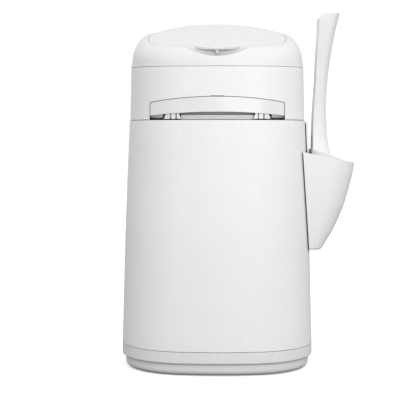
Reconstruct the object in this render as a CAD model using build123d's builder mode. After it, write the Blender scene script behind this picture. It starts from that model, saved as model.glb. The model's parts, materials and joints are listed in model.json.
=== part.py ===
from build123d import *
import math
import os

os.makedirs("parts", exist_ok=True)

# ---------------------------------------------------------------------------
# Litter disposal pail: a tapered bucket on an inset base, a tilting upper unit
# with a pull handle and sliding jaw, a rear-hinged top cover with a flip lid,
# and a scoop in a holder hung over the bucket's rim on the +X side.
# Millimetres.  Origin on the floor under the middle of the pail, +Z up,
# -Y is the front (the pull handle), +X is the scoop holder's side.
# ---------------------------------------------------------------------------

# plan outline of the bucket's rim: eight tangent arcs, offset for every level
PLAN_A = 109.5          # half width at the bucket's rim
PLAN_B = 98.55          # half depth at the bucket's rim
PLAN_RS = 279.6         # radius of the side arcs
PLAN_RF = 294.7         # radius of the front and back arcs
PLAN_RC = 74.2          # radius of the corner arcs
WALL = 2.4              # moulded wall

# heights
FEET_H = 0.6
STEP_Z = 15.3           # underside of the skirt, where the plinth starts
TRAY_TOP = 29.4
BUCKET_FLOOR = 20.0
BUCKET_SEAM = 30.0
BEND_Z = 170.0          # the bucket's side is a little convex: two drafts
RIM_Z = 304.2           # bucket's rim
UPPER_Z = 305.0         # lower edge of the upper body
COVER_Z = 369.5         # seam between upper body and top cover (at y = 0)
COVER_SLOPE = 0.0184
BASE_OUT = 9.6          # outline offset at the skirt
BEND_OUT = 5.7          # outline offset of the bucket at BEND_Z

# lid plane: z = LID_Z0 + LID_S * y
LID_Z0 = 414.1
LID_S = 0.278
COVER_DRAFT = 8.0
COVER_R = 23.0
LID_T = 3.0
CROWN_R = 950.0         # the top is a little domed from side to side
HINGE_R = 5.4

# pull handle and jaw
TRAVEL = 50.0
HANDLE_X = 80.0
HANDLE_TOP = 331.7
HANDLE_TOP_R = 480.0
HANDLE_LOW = 314.0
HANDLE_LOW_R = 750.0
HANDLE_T = 3.0
GAP = 0.75
JAW_Z0, JAW_Z1 = 306.5, 310.4
PINCH_Y = 20.0
CHASSIS_Z0, CHASSIS_Z1 = 312.2, 315.0
ROD_X, ROD_Z, ROD_R = 90.0, 308.6, 2.0
ROD_CLEAR = 0.075

# hinges
TILT_Y, TILT_Z = 104.6, 304.6
TILT_PIN_R = 2.5
COVER_Y, COVER_HZ = 102.6, 371.2
COVER_PIN_R = 2.0
LID_PIN_R = 1.5
RUN = 0.075             # radial clearance of every running pin


def tangent_corner(c1, r1, c2, r2, rc):
    """Centre of the corner arc rc that touches both large arcs from inside."""
    d1, d2 = r1 - rc, r2 - rc
    dx, dy = c2[0] - c1[0], c2[1] - c1[1]
    length = math.hypot(dx, dy)
    ux, uy = dx / length, dy / length
    along = (d1 * d1 - d2 * d2 + length * length) / (2 * length)
    h = math.sqrt(d1 * d1 - along * along)
    options = [
        (c1[0] + ux * along - uy * s * h, c1[1] + uy * along + ux * s * h)
        for s in (1, -1)
    ]
    return options


def toward(c, p, r):
    d = math.hypot(p[0] - c[0], p[1] - c[1])
    return (c[0] + (p[0] - c[0]) / d * r, c[1] + (p[1] - c[1]) / d * r)


SIDE_C = (PLAN_A - PLAN_RS, 0.0)
FRONT_C = (0.0, PLAN_B - PLAN_RF)
CORNER_C = max(tangent_corner(SIDE_C, PLAN_RS, FRONT_C, PLAN_RF, PLAN_RC), key=sum)


def plan_points(d):
    """Tangent points of the outline offset by d: side/corner and corner/front."""
    t1 = toward(SIDE_C, CORNER_C, PLAN_RS + d)
    t2 = toward(FRONT_C, CORNER_C, PLAN_RF + d)
    m = toward(
        CORNER_C,
        ((t1[0] + t2[0]) / 2, (t1[1] + t2[1]) / 2),
        PLAN_RC + d,
    )
    return t1, m, t2


def plan_lines(d):
    """The closed outline, offset outward by d, drawn in the active BuildLine."""
    (x1, y1), (xm, ym), (x2, y2) = plan_points(d)
    a, b = PLAN_A + d, PLAN_B + d
    ThreePointArc((x1, -y1), (a, 0), (x1, y1))
    ThreePointArc((x1, y1), (xm, ym), (x2, y2))
    ThreePointArc((x2, y2), (0, b), (-x2, y2))
    ThreePointArc((-x2, y2), (-xm, ym), (-x1, y1))
    ThreePointArc((-x1, y1), (-a, 0), (-x1, -y1))
    ThreePointArc((-x1, -y1), (-xm, -ym), (-x2, -y2))
    ThreePointArc((-x2, -y2), (0, -b), (x2, -y2))
    ThreePointArc((x2, -y2), (xm, -ym), (x1, -y1))


def plan_face(d, z):
    with BuildSketch(Plane.XY.offset(z)) as sk:
        with BuildLine():
            plan_lines(d)
        make_face()
    return sk.sketch


def prism(d, z0, z1, taper=0.0):
    """Outline offset by d at z0, extruded to z1; a positive taper narrows it."""
    with BuildPart() as p:
        add(plan_face(d, z0))
        extrude(amount=z1 - z0, taper=taper)
    return p.part


def draft(out0, out1, h):
    return math.degrees(math.atan2(out0 - out1, h))


# lid outline in plan: a flatter front with tight corners and a round back
LID_A = 85.0
LID_YC = -13.0
LID_FRONT = -73.5
LID_BACK = 64.0
LID_RSB = 60.0
LID_RB = 86.9
LID_RSF = 120.0
LID_RF = 500.0
LID_RC = 32.0
LID_SB_C = (LID_A - LID_RSB, LID_YC)
LID_B_C = (0.0, LID_BACK - LID_RB)
LID_SF_C = (LID_A - LID_RSF, LID_YC)
LID_F_C = (0.0, LID_FRONT + LID_RF)
LID_C_C = min(
    tangent_corner(LID_SF_C, LID_RSF, LID_F_C, LID_RF, LID_RC),
    key=lambda p: p[1],
)


def lid_lines(d):
    tb = toward(LID_B_C, LID_SB_C, LID_RB + d)
    t1 = toward(LID_SF_C, LID_C_C, LID_RSF + d)
    t2 = toward(LID_F_C, LID_C_C, LID_RF + d)
    mc = toward(LID_C_C, ((t1[0] + t2[0]) / 2, (t1[1] + t2[1]) / 2), LID_RC + d)
    side = (LID_A + d, LID_YC)
    ms = toward(LID_SF_C, ((side[0] + t1[0]) / 2, (side[1] + t1[1]) / 2), LID_RSF + d)
    mb = toward(LID_SB_C, ((side[0] + tb[0]) / 2, (side[1] + tb[1]) / 2), LID_RSB + d)
    ThreePointArc((-t2[0], t2[1]), (0, LID_FRONT - d), t2)
    ThreePointArc(t2, mc, t1)
    ThreePointArc(t1, ms, side)
    ThreePointArc(side, mb, tb)
    ThreePointArc(tb, (0, LID_BACK + d), (-tb[0], tb[1]))
    ThreePointArc((-tb[0], tb[1]), (-mb[0], mb[1]), (-side[0], side[1]))
    ThreePointArc((-side[0], side[1]), (-ms[0], ms[1]), (-t1[0], t1[1]))
    ThreePointArc((-t1[0], t1[1]), (-mc[0], mc[1]), (-t2[0], t2[1]))


def lid_plane(drop):
    """Plane parallel to the lid, dropped by a vertical distance."""
    return Plane(
        origin=(0, 0, LID_Z0 - drop),
        x_dir=(1, 0, 0),
        z_dir=(0, -LID_S, 1),
    )


SEAM_PLANE = Plane(origin=(0, 0, COVER_Z), x_dir=(1, 0, 0), z_dir=(0, -COVER_SLOPE, 1))


# ===========================================================================
# base tray: skirt and inset plinth in one moulding
# ===========================================================================
PLINTH_OUT = 5.2        # outline offset of the plinth's side
FEET_AT = [(58, 74), (-58, 74), (58, -74), (-58, -74), (0, 0)]

with BuildPart() as skirt:
    add(prism(BASE_OUT, STEP_Z, TRAY_TOP))
    fillet(skirt.faces().sort_by(Axis.Z)[0].edges(), radius=1.8)

with BuildPart() as base_tray:
    add(prism(PLINTH_OUT, FEET_H, STEP_Z + 2))
    fillet(base_tray.faces().sort_by(Axis.Z)[0].edges(), radius=7.0)
    add(skirt.part)
    # hollow: a shallow well under the bucket's floor
    add(prism(PLINTH_OUT - WALL - 1.2, FEET_H + 3.0, BUCKET_FLOOR), mode=Mode.SUBTRACT)
    add(prism(BASE_OUT - 4.6, BUCKET_FLOOR - 0.3, TRAY_TOP + 1), mode=Mode.SUBTRACT)
    # stiffening ribs across the well
    with BuildSketch(Plane.XY.offset(FEET_H + 2.0)):
        for x in (-60, 0, 60):
            with Locations((x, 0)):
                Rectangle(2.2, 180)
        for y in (-48, 48):
            with Locations((0, y)):
                Rectangle(200, 2.2)
    extrude(amount=13.0)
    # screw holes up into the bucket
    with Locations(*[(x, y, FEET_H) for x in (-78, 78) for y in (-62, 62)]):
        Cylinder(8.0, BUCKET_FLOOR - 0.3 - FEET_H, align=(Align.CENTER, Align.CENTER, Align.MIN))
    with Locations(*[(x, y, FEET_H - 1) for x in (-78, 78) for y in (-62, 62)]):
        Cylinder(1.85, 30, align=(Align.CENTER, Align.CENTER, Align.MIN), mode=Mode.SUBTRACT)
        Cylinder(4.2, 8.0, align=(Align.CENTER, Align.CENTER, Align.MIN), mode=Mode.SUBTRACT)
    # pockets for the rubber feet
    with Locations(*[(x, y, FEET_H) for x, y in FEET_AT]):
        Cylinder(7.0, 1.0, align=(Align.CENTER, Align.CENTER, Align.MIN), mode=Mode.SUBTRACT)

# ===========================================================================
# rubber feet and base screws
# ===========================================================================
with BuildPart() as base_feet:
    with Locations(*[(x, y, 0) for x, y in FEET_AT]):
        Cylinder(7.0, FEET_H + 1.0, align=(Align.CENTER, Align.CENTER, Align.MIN))
    fillet(base_feet.faces().group_by(Axis.Z)[0].edges(), radius=0.7)

with BuildPart() as base_screws:
    for x in (-78, 78):
        for y in (-62, 62):
            with Locations((x, y, FEET_H + 7.0 - 3.0)):
                Cylinder(3.6, 3.0, align=(Align.CENTER, Align.CENTER, Align.MIN))
            with Locations((x, y, FEET_H + 7.0)):
                Cylinder(1.8, 22.0, align=(Align.CENTER, Align.CENTER, Align.MIN))
            with Locations((x, y, FEET_H + 4.0)):
                Box(4.4, 0.9, 2.4, mode=Mode.SUBTRACT)
                Box(0.9, 4.4, 2.4, mode=Mode.SUBTRACT)

# ===========================================================================
# bucket
# ===========================================================================
BEND_T = draft(BASE_OUT - 0.0, BEND_OUT, BEND_Z - BUCKET_SEAM)
TOP_T = draft(BEND_OUT, 0.0, RIM_Z - BEND_Z)

with BuildPart() as bucket:
    add(prism(BASE_OUT, BUCKET_SEAM, BEND_Z, BEND_T))
    add(prism(BEND_OUT, BEND_Z, RIM_Z, TOP_T))
    # spigot that drops into the base tray
    add(prism(BASE_OUT - 5.0, BUCKET_FLOOR, BUCKET_SEAM + 0.1))
    # interior
    add(prism(BASE_OUT - WALL, BUCKET_SEAM + 6.0, BEND_Z, BEND_T), mode=Mode.SUBTRACT)
    add(prism(BEND_OUT - WALL, BEND_Z, RIM_Z + 0.0, TOP_T), mode=Mode.SUBTRACT)
    add(prism(BASE_OUT - 5.0 - WALL, BUCKET_FLOOR + 3.0, BUCKET_SEAM + 6.5), mode=Mode.SUBTRACT)
    # screw bosses on the floor
    with Locations(*[(x, y, BUCKET_FLOOR) for x in (-78, 78) for y in (-62, 62)]):
        Cylinder(4.6, 13.0, align=(Align.CENTER, Align.CENTER, Align.MIN))
    with Locations(*[(x, y, BUCKET_FLOOR - 1) for x in (-78, 78) for y in (-62, 62)]):
        Cylinder(1.85, 12.0, align=(Align.CENTER, Align.CENTER, Align.MIN), mode=Mode.SUBTRACT)
    # notch in the rim for the scoop holder's hook
    with Locations((110, 0, RIM_Z - 3.4)):
        Box(14, 43, 8, align=(Align.CENTER, Align.CENTER, Align.MIN), mode=Mode.SUBTRACT)
    # hinge leaves and knuckles at the back
    for x in (-29.0, 29.0):
        with BuildSketch(Plane(origin=(x - 7.0, 0, 0), x_dir=(0, 1, 0), z_dir=(1, 0, 0))):
            with BuildLine():
                Polyline(
                    (98.0, RIM_Z - 26.0),
                    (98.0, RIM_Z - 1.0),
                    (TILT_Y, TILT_Z),
                    (TILT_Y + HINGE_R, TILT_Z),
                    (TILT_Y + HINGE_R - 1.6, RIM_Z - 8.0),
                    (98.0, RIM_Z - 26.0),
                )
            make_face()
            with Locations((TILT_Y, TILT_Z)):
                Circle(HINGE_R)
        extrude(amount=14.0)
    with Locations(Plane(origin=(0, TILT_Y, TILT_Z), z_dir=(1, 0, 0))):
        Cylinder(TILT_PIN_R, 90, mode=Mode.SUBTRACT)

with BuildPart() as rear_hinge_pin:
    with Locations(Plane(origin=(0, TILT_Y, TILT_Z), z_dir=(1, 0, 0))):
        Cylinder(TILT_PIN_R, 74)
    chamfer(rear_hinge_pin.edges().filter_by(GeomType.CIRCLE), length=0.5)

# ===========================================================================
# upper body: outer casing of the tilting unit
# ===========================================================================
UPPER_OUT0 = -0.8
UPPER_OUT1 = -2.2
UPPER_T = draft(UPPER_OUT0, UPPER_OUT1, COVER_Z - UPPER_Z)
BOSSES = [(99.0, 30.0), (-99.0, 30.0), (99.0, -30.0), (-99.0, -30.0), (46.0, 88.5), (-46.0, 88.5)]


def upper_prism(d, z1=375.0):
    return prism(UPPER_OUT0 + d, UPPER_Z, z1, UPPER_T)


def front_zone(x_half, z0, z1, y_to=0.0):
    """Box at the front, from outside the casing back to y_to."""
    with BuildPart() as p:
        with Locations((0, (y_to - 170.0) / 2, (z0 + z1) / 2)):
            Box(2 * x_half, y_to + 170.0, z1 - z0)
    return p.part


def arch(x_half, top, r, z0, corner):
    """Front window: straight sides, arched top, rounded upper corners, cut along Y."""
    zc = top - (r - math.sqrt(r * r - x_half * x_half))
    with BuildPart() as p:
        with BuildSketch(Plane.XZ):
            with BuildLine():
                Line((-x_half, z0), (x_half, z0))
                Line((x_half, z0), (x_half, zc))
                ThreePointArc((x_half, zc), (0, top), (-x_half, zc))
                Line((-x_half, zc), (-x_half, z0))
            make_face()
        extrude(amount=170.0)
        if corner:
            fillet(
                p.edges().filter_by(Axis.Y).group_by(Axis.Z)[-1],
                radius=corner,
            )
    return p.part


BAY_X = 82.2
with BuildPart() as bay_space:
    # finger space behind the handle band, open to the front
    add(upper_prism(-WALL + 0.02))
    add(upper_prism(-15.0), mode=Mode.SUBTRACT)
    add(front_zone(BAY_X, UPPER_Z - 1, HANDLE_TOP + 1.0), mode=Mode.INTERSECT)

with BuildPart() as bay_walls:
    add(upper_prism(-0.4))
    add(upper_prism(-17.0), mode=Mode.SUBTRACT)
    add(front_zone(BAY_X + 2.0, 311.4, HANDLE_TOP + 2.8), mode=Mode.INTERSECT)

with BuildPart() as window_cut:
    # the arched window, through the outer wall only
    add(upper_prism(1.0))
    add(upper_prism(-WALL - 1.0), mode=Mode.SUBTRACT)
    add(front_zone(100, 300, 340, -40.0), mode=Mode.INTERSECT)
    add(arch(HANDLE_X + GAP, HANDLE_TOP + GAP, HANDLE_TOP_R, UPPER_Z - 2, 3.0), mode=Mode.INTERSECT)

with BuildPart() as upper_body:
    add(upper_prism(0.0))
    add(upper_prism(-WALL), mode=Mode.SUBTRACT)
    add(bay_walls.part)
    # bosses against the wall that carry the chassis below and the hopper above
    with Locations(*[(x, y, CHASSIS_Z1) for x, y in BOSSES]):
        Cylinder(6.2, 20.0, align=(Align.CENTER, Align.CENTER, Align.MIN))
    # trim whatever the bosses put outside the casing
    add(upper_prism(0.0), mode=Mode.INTERSECT)
    add(bay_space.part, mode=Mode.SUBTRACT)
    add(window_cut.part, mode=Mode.SUBTRACT)
    with Locations(*[(x, y, CHASSIS_Z1 - 1) for x, y in BOSSES]):
        Cylinder(1.55, 22.0, align=(Align.CENTER, Align.CENTER, Align.MIN), mode=Mode.SUBTRACT)
    # small relief above the middle of the handle
    with Locations((0, -99, HANDLE_TOP + 0.3)):
        Box(16.0, 12, 1.8, mode=Mode.SUBTRACT)
    split(bisect_by=SEAM_PLANE.offset(-0.22), keep=Keep.BOTTOM)
    # hinge knuckles to the bucket
    for x0, x1 in ((-21.4, -4.0), (4.0, 21.4)):
        with BuildSketch(Plane(origin=(x0, 0, 0), x_dir=(0, 1, 0), z_dir=(1, 0, 0))):
            with BuildLine():
                Polyline(
                    (96.6, UPPER_Z + 1.0),
                    (TILT_Y, TILT_Z + 0.0),
                    (TILT_Y + HINGE_R, TILT_Z),
                    (TILT_Y + HINGE_R - 1.6, TILT_Z + 8.0),
                    (96.4, TILT_Z + 26.0),
                    (96.6, UPPER_Z + 1.0),
                )
            make_face()
            with Locations((TILT_Y, TILT_Z)):
                Circle(HINGE_R)
        extrude(amount=x1 - x0)
    # hinge knuckles to the top cover
    for x0, x1 in ((-40.0, -26.0), (26.0, 40.0)):
        with BuildSketch(Plane(origin=(x0, 0, 0), x_dir=(0, 1, 0), z_dir=(1, 0, 0))):
            with BuildLine():
                Polyline(
                    (95.4, COVER_HZ - 22.0),
                    (95.4, COVER_HZ - 1.6),
                    (COVER_Y, COVER_HZ),
                    (COVER_Y + 4.4, COVER_HZ),
                    (COVER_Y + 3.2, COVER_HZ - 6.5),
                    (95.4, COVER_HZ - 22.0),
                )
            make_face()
            with Locations((COVER_Y, COVER_HZ)):
                Circle(4.4)
        extrude(amount=x1 - x0)
    with Locations(Plane(origin=(0, TILT_Y, TILT_Z), z_dir=(1, 0, 0))):
        Cylinder(TILT_PIN_R + RUN, 50, mode=Mode.SUBTRACT)
    with Locations(Plane(origin=(0, COVER_Y, COVER_HZ), z_dir=(1, 0, 0))):
        Cylinder(COVER_PIN_R, 100, mode=Mode.SUBTRACT)

with BuildPart() as cover_hinge_pin:
    with Locations(Plane(origin=(0, COVER_Y, COVER_HZ), z_dir=(1, 0, 0))):
        Cylinder(COVER_PIN_R, 81)
    chamfer(cover_hinge_pin.edges().filter_by(GeomType.CIRCLE), length=0.4)


# ===========================================================================
# pull handle: the band that closes the front window, and its two brackets
# ===========================================================================
LOW_ZC = HANDLE_LOW - (HANDLE_LOW_R - math.sqrt(HANDLE_LOW_R**2 - HANDLE_X**2))
TOP_ZC = HANDLE_TOP - (HANDLE_TOP_R - math.sqrt(HANDLE_TOP_R**2 - HANDLE_X**2))
BRACKET_X0, BRACKET_X1 = 45.2, 60.8
GROOVES = (48.6, 55.2)
HANDLE_SCREWS = [(s * x, y) for s in (-1, 1) for x, y in ((51.6, -84.6), (58.4, -82.6))]

with BuildPart() as band_window:
    with BuildSketch(Plane.XZ):
        with BuildLine():
            Line((HANDLE_X, LOW_ZC), (HANDLE_X, TOP_ZC))
            ThreePointArc((HANDLE_X, TOP_ZC), (0, HANDLE_TOP), (-HANDLE_X, TOP_ZC))
            Line((-HANDLE_X, TOP_ZC), (-HANDLE_X, LOW_ZC))
            ThreePointArc((-HANDLE_X, LOW_ZC), (0, HANDLE_LOW), (HANDLE_X, LOW_ZC))
        make_face()
    extrude(amount=170.0)
    fillet(band_window.edges().filter_by(Axis.Y).group_by(Axis.Z)[-1], radius=2.6)

with BuildPart() as top_lip:
    # lip along the band's upper edge, turned inward and following the arch
    add(upper_prism(-2.0))
    add(upper_prism(-8.0), mode=Mode.SUBTRACT)
    add(band_window.part, mode=Mode.INTERSECT)
    add(band_window.part.moved(Location((0, 0, -2.2))), mode=Mode.SUBTRACT)
    add(front_zone(76.0, 318.0, 340.0), mode=Mode.INTERSECT)

with BuildPart() as end_returns:
    # slanted underside below each end of the band
    add(prism(UPPER_OUT0 - 5.6, 306.9, 312.4, -44.0))
    add(prism(UPPER_OUT0 - 7.4, 306.0, 313.0), mode=Mode.SUBTRACT)
    add(front_zone(HANDLE_X, 306.9, 312.4), mode=Mode.INTERSECT)
    add(front_zone(64.8, 306.0, 313.0), mode=Mode.SUBTRACT)

with BuildPart() as bracket_notch:
    add(upper_prism(-4.0))
    add(front_zone(90.0, 300.0, JAW_Z1), mode=Mode.INTERSECT)

with BuildPart() as brackets:
    # ribbed brackets: a front wall down past the plate, a block on top of it
    for side in (-1, 1):
        with BuildSketch(Plane.XZ):
            with BuildLine():
                Polyline(
                    (side * BRACKET_X0, 316.0),
                    (side * BRACKET_X0, 311.6),
                    (side * (BRACKET_X0 - 2.4), 305.7),
                    (side * (BRACKET_X1 + 2.4), 305.7),
                    (side * BRACKET_X1, 311.6),
                    (side * BRACKET_X1, 316.0),
                    close=True,
                )
            make_face()
    extrude(amount=170.0)
    add(upper_prism(-1.4), mode=Mode.INTERSECT)
    add(upper_prism(-11.6), mode=Mode.SUBTRACT)
    add(bracket_notch.part, mode=Mode.SUBTRACT)
    for side in (-1, 1):
        for x in GROOVES:
            with Locations((side * x, -100.0, 309.0)):
                Box(1.7, 26.0, 8.0, mode=Mode.SUBTRACT)

with BuildPart() as handle:
    add(upper_prism(0.0))
    add(upper_prism(-HANDLE_T), mode=Mode.SUBTRACT)
    add(band_window.part, mode=Mode.INTERSECT)
    add(front_zone(100.0, 300.0, 340.0), mode=Mode.INTERSECT)
    add(top_lip.part)
    add(end_returns.part)
    add(brackets.part)
    with Locations(*[(x, y, JAW_Z1 - 1.0) for x, y in HANDLE_SCREWS]):
        Cylinder(1.25, 6.6, align=(Align.CENTER, Align.CENTER, Align.MIN), mode=Mode.SUBTRACT)

# ===========================================================================
# sliding jaw: plate, two rear arms with bored lugs, tabs under the brackets
# ===========================================================================
ARM_X0, ARM_X1 = 66.6, 75.0
LUG_Y0, LUG_Y1 = 41.0, 49.0
LUG_X0, LUG_X1 = 74.0, 94.2

with BuildPart() as jaw_tabs:
    add(upper_prism(-4.1))
    add(upper_prism(-13.0), mode=Mode.SUBTRACT)
    add(front_zone(BRACKET_X1 - 0.4, JAW_Z0, JAW_Z1), mode=Mode.INTERSECT)
    add(front_zone(BRACKET_X0 + 0.4, JAW_Z0 - 1, JAW_Z1 + 1), mode=Mode.SUBTRACT)

with BuildPart() as jaw_edge:
    # front edge of the plate, seen under the band between the brackets
    add(upper_prism(-5.2))
    add(upper_prism(-14.0), mode=Mode.SUBTRACT)
    add(front_zone(42.8, RIM_Z + 0.5, JAW_Z1), mode=Mode.INTERSECT)

with BuildPart() as slide_jaw:
    add(prism(UPPER_OUT0 - 12.0, JAW_Z0, JAW_Z1))
    with Locations((0, -120 + PINCH_Y - 2.4, (JAW_Z0 + JAW_Z1) / 2)):
        Box(2 * ARM_X1, 240, 20, mode=Mode.INTERSECT)
    add(jaw_tabs.part)
    add(jaw_edge.part)
    for side in (-1, 1):
        with Locations((side * (ARM_X0 + ARM_X1) / 2, (LUG_Y1 + 10.0) / 2, JAW_Z0)):
            Box(ARM_X1 - ARM_X0, LUG_Y1 - 10.0, JAW_Z1 - JAW_Z0, align=(Align.CENTER, Align.CENTER, Align.MIN))
        with Locations((side * (LUG_X0 + LUG_X1) / 2, (LUG_Y0 + LUG_Y1) / 2, ROD_Z)):
            Box(LUG_X1 - LUG_X0, LUG_Y1 - LUG_Y0, 6.4)
    for side in (-1, 1):
        with Locations(Plane(origin=(side * ROD_X, 45, ROD_Z), z_dir=(0, 1, 0))):
            Cylinder(ROD_R + ROD_CLEAR, 20, mode=Mode.SUBTRACT)
    with Locations(*[(x, y, JAW_Z0 - 1.0) for x, y in HANDLE_SCREWS]):
        Cylinder(1.25, 8.0, align=(Align.CENTER, Align.CENTER, Align.MIN), mode=Mode.SUBTRACT)
        Cylinder(2.4, 2.4, align=(Align.CENTER, Align.CENTER, Align.MIN), mode=Mode.SUBTRACT)

with BuildPart() as handle_screws:
    with Locations(*[(x, y, JAW_Z0 + 0.1) for x, y in HANDLE_SCREWS]):
        Cylinder(2.3, 1.3, align=(Align.CENTER, Align.CENTER, Align.MIN))
        Cylinder(1.2, 8.0, align=(Align.CENTER, Align.CENTER, Align.MIN))

with BuildPart() as slide_jaw_lip:
    with Locations((0, PINCH_Y - 0.4 - 2.6, (JAW_Z0 + JAW_Z1) / 2)):
        Box(131.0, 5.2, JAW_Z1 - JAW_Z0 + 1.8)
    with Locations((0, PINCH_Y - 2.4 - 5.0, (JAW_Z0 + JAW_Z1) / 2)):
        Box(140.0, 10.0, JAW_Z1 - JAW_Z0, mode=Mode.SUBTRACT)
    fillet(slide_jaw_lip.edges().filter_by(Axis.X).group_by(Axis.Y)[-1], radius=0.8)

# ===========================================================================
# chassis of the tilting unit, with rod lugs and the throat
# ===========================================================================
THROAT = UPPER_OUT0 - 54.0
FIXED_SCREWS = [(s * 52.0, y) for s in (-1, 1) for y in (34.0, 56.0)]
RAIL_SCREWS = [(s * 80.7, y) for s in (-1, 1) for y in (-43.0, -19.0)]

with BuildPart() as bay_relief:
    # clears the back wall of the handle's bay
    add(prism(UPPER_OUT0 + 2.0, CHASSIS_Z0 - 1, CHASSIS_Z1 + 1))
    add(prism(UPPER_OUT0 - 17.5, CHASSIS_Z0 - 2, CHASSIS_Z1 + 2), mode=Mode.SUBTRACT)
    add(front_zone(BAY_X + 2.6, 300.0, 330.0), mode=Mode.INTERSECT)

with BuildPart() as chassis:
    add(prism(UPPER_OUT0 - 3.2, CHASSIS_Z0, CHASSIS_Z1))
    add(prism(THROAT, CHASSIS_Z0 - 1, CHASSIS_Z1 + 1), mode=Mode.SUBTRACT)
    add(bay_relief.part, mode=Mode.SUBTRACT)
    for side in (-1, 1):
        for y in (-53.0, 53.0):
            with Locations((side * ROD_X, y, (305.2 + CHASSIS_Z0 + 0.4) / 2)):
                Box(8.8, 6.0, CHASSIS_Z0 + 0.4 - 305.2)
        with Locations(Plane(origin=(side * ROD_X, 0, ROD_Z), z_dir=(0, 1, 0))):
            Cylinder(ROD_R, 200, mode=Mode.SUBTRACT)
    with Locations(*[(x, y, CHASSIS_Z0 - 1) for x, y in BOSSES]):
        Cylinder(1.6, 6, align=(Align.CENTER, Align.CENTER, Align.MIN), mode=Mode.SUBTRACT)
    with Locations(*[(x, y, CHASSIS_Z0 - 1) for x, y in FIXED_SCREWS + RAIL_SCREWS]):
        Cylinder(1.25, 6, align=(Align.CENTER, Align.CENTER, Align.MIN), mode=Mode.SUBTRACT)

with BuildPart() as chassis_screws:
    with Locations(*[(x, y, CHASSIS_Z0 - 2.0) for x, y in BOSSES]):
        Cylinder(2.9, 2.0, align=(Align.CENTER, Align.CENTER, Align.MIN))
    with Locations(*[(x, y, CHASSIS_Z0 - 0.1) for x, y in BOSSES]):
        Cylinder(1.5, 11.0, align=(Align.CENTER, Align.CENTER, Align.MIN))

with BuildPart() as guide_rods:
    for side in (-1, 1):
        with Locations(Plane(origin=(side * ROD_X, 0, ROD_Z), z_dir=(0, 1, 0))):
            Cylinder(ROD_R, 112.6)
    chamfer(guide_rods.edges().filter_by(GeomType.CIRCLE), length=0.4)

with BuildPart() as return_springs:
    for side in (-1, 1):
        with Locations(Plane(origin=(side * ROD_X, (-50 + LUG_Y0) / 2, ROD_Z), z_dir=(0, 1, 0))):
            Cylinder(3.1, LUG_Y0 + 50 - 0.4)
            Cylinder(2.4, 120, mode=Mode.SUBTRACT)

# guide rails: C-sections that hold the jaw plate's edges
RAIL_Y0, RAIL_Y1 = -50.0, -12.0


def rail(side):
    with BuildPart() as p:
        with Locations((side * 77.2, (RAIL_Y0 + RAIL_Y1) / 2, (305.1 + CHASSIS_Z0) / 2)):
            Box(12.6, RAIL_Y1 - RAIL_Y0, CHASSIS_Z0 - 305.1)
        with Locations((side * 73.0, (RAIL_Y0 + RAIL_Y1) / 2, (JAW_Z0 + JAW_Z1) / 2)):
            Box(4.8, 60, JAW_Z1 - JAW_Z0 + 0.8, mode=Mode.SUBTRACT)
        with Locations((side * 81.0, (RAIL_Y0 + RAIL_Y1) / 2, 305.0)):
            Box(6.0, 60, 2 * (CHASSIS_Z0 - 305.0 - 2.0), mode=Mode.SUBTRACT)
        with Locations(*[(x, y, 305.0) for x, y in RAIL_SCREWS if x * side > 0]):
            Cylinder(1.25, 20, mode=Mode.SUBTRACT)
    return p.part


with BuildPart() as guide_rail_left:
    add(rail(-1))
with BuildPart() as guide_rail_right:
    add(rail(1))

with BuildPart() as rail_screws:
    with Locations(*[(x, y, CHASSIS_Z0 - 3.5) for x, y in RAIL_SCREWS]):
        Cylinder(1.9, 1.5, align=(Align.CENTER, Align.CENTER, Align.MIN))
    with Locations(*[(x, y, CHASSIS_Z0 - 2.1) for x, y in RAIL_SCREWS]):
        Cylinder(1.2, 4.8, align=(Align.CENTER, Align.CENTER, Align.MIN))

# fixed jaw behind the pinch line
with BuildPart() as fixed_jaw:
    with Locations((0, (PINCH_Y + 2.4 + 62.0) / 2, (JAW_Z0 + JAW_Z1) / 2)):
        Box(131.0, 62.0 - PINCH_Y - 2.4, JAW_Z1 - JAW_Z0)
    fillet(fixed_jaw.edges().filter_by(Axis.Z).group_by(Axis.Y)[-1], radius=6.0)
    with Locations(*[(x, y, JAW_Z0) for x, y in FIXED_SCREWS]):
        Cylinder(4.2, CHASSIS_Z0 - JAW_Z0, align=(Align.CENTER, Align.CENTER, Align.MIN))
    with Locations(*[(x, y, JAW_Z0 - 1) for x, y in FIXED_SCREWS]):
        Cylinder(1.25, 12, align=(Align.CENTER, Align.CENTER, Align.MIN), mode=Mode.SUBTRACT)
        Cylinder(2.5, 2.6, align=(Align.CENTER, Align.CENTER, Align.MIN), mode=Mode.SUBTRACT)

with BuildPart() as fixed_jaw_screws:
    with Locations(*[(x, y, JAW_Z0 + 0.2) for x, y in FIXED_SCREWS]):
        Cylinder(2.4, 1.4, align=(Align.CENTER, Align.CENTER, Align.MIN))
        Cylinder(1.2, 8.0, align=(Align.CENTER, Align.CENTER, Align.MIN))

with BuildPart() as fixed_jaw_lip:
    with Locations((0, PINCH_Y + 2.6, (JAW_Z0 + JAW_Z1) / 2)):
        Box(131.0, 5.2, JAW_Z1 - JAW_Z0 + 1.8)
    with Locations((0, PINCH_Y + 2.4 + 5.0, (JAW_Z0 + JAW_Z1) / 2)):
        Box(140.0, 10.0, JAW_Z1 - JAW_Z0, mode=Mode.SUBTRACT)
    fillet(fixed_jaw_lip.edges().filter_by(Axis.X).group_by(Axis.Y)[0], radius=0.8)

# snap clips that hold the tilting unit down on the bucket's rim
with BuildPart() as snap_clips:
    for side in (-1, 1):
        with Locations((side * 87.1, -62.0, 310.7)):
            Box(3.6, 6.0, 3.0)
        with Locations((side * 87.1, -64.2, 305.2)):
            Box(3.6, 1.6, 14.0)
        with Locations((side * 87.1, -64.6, 299.4)):
            Box(3.6, 2.2, 2.4)

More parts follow.
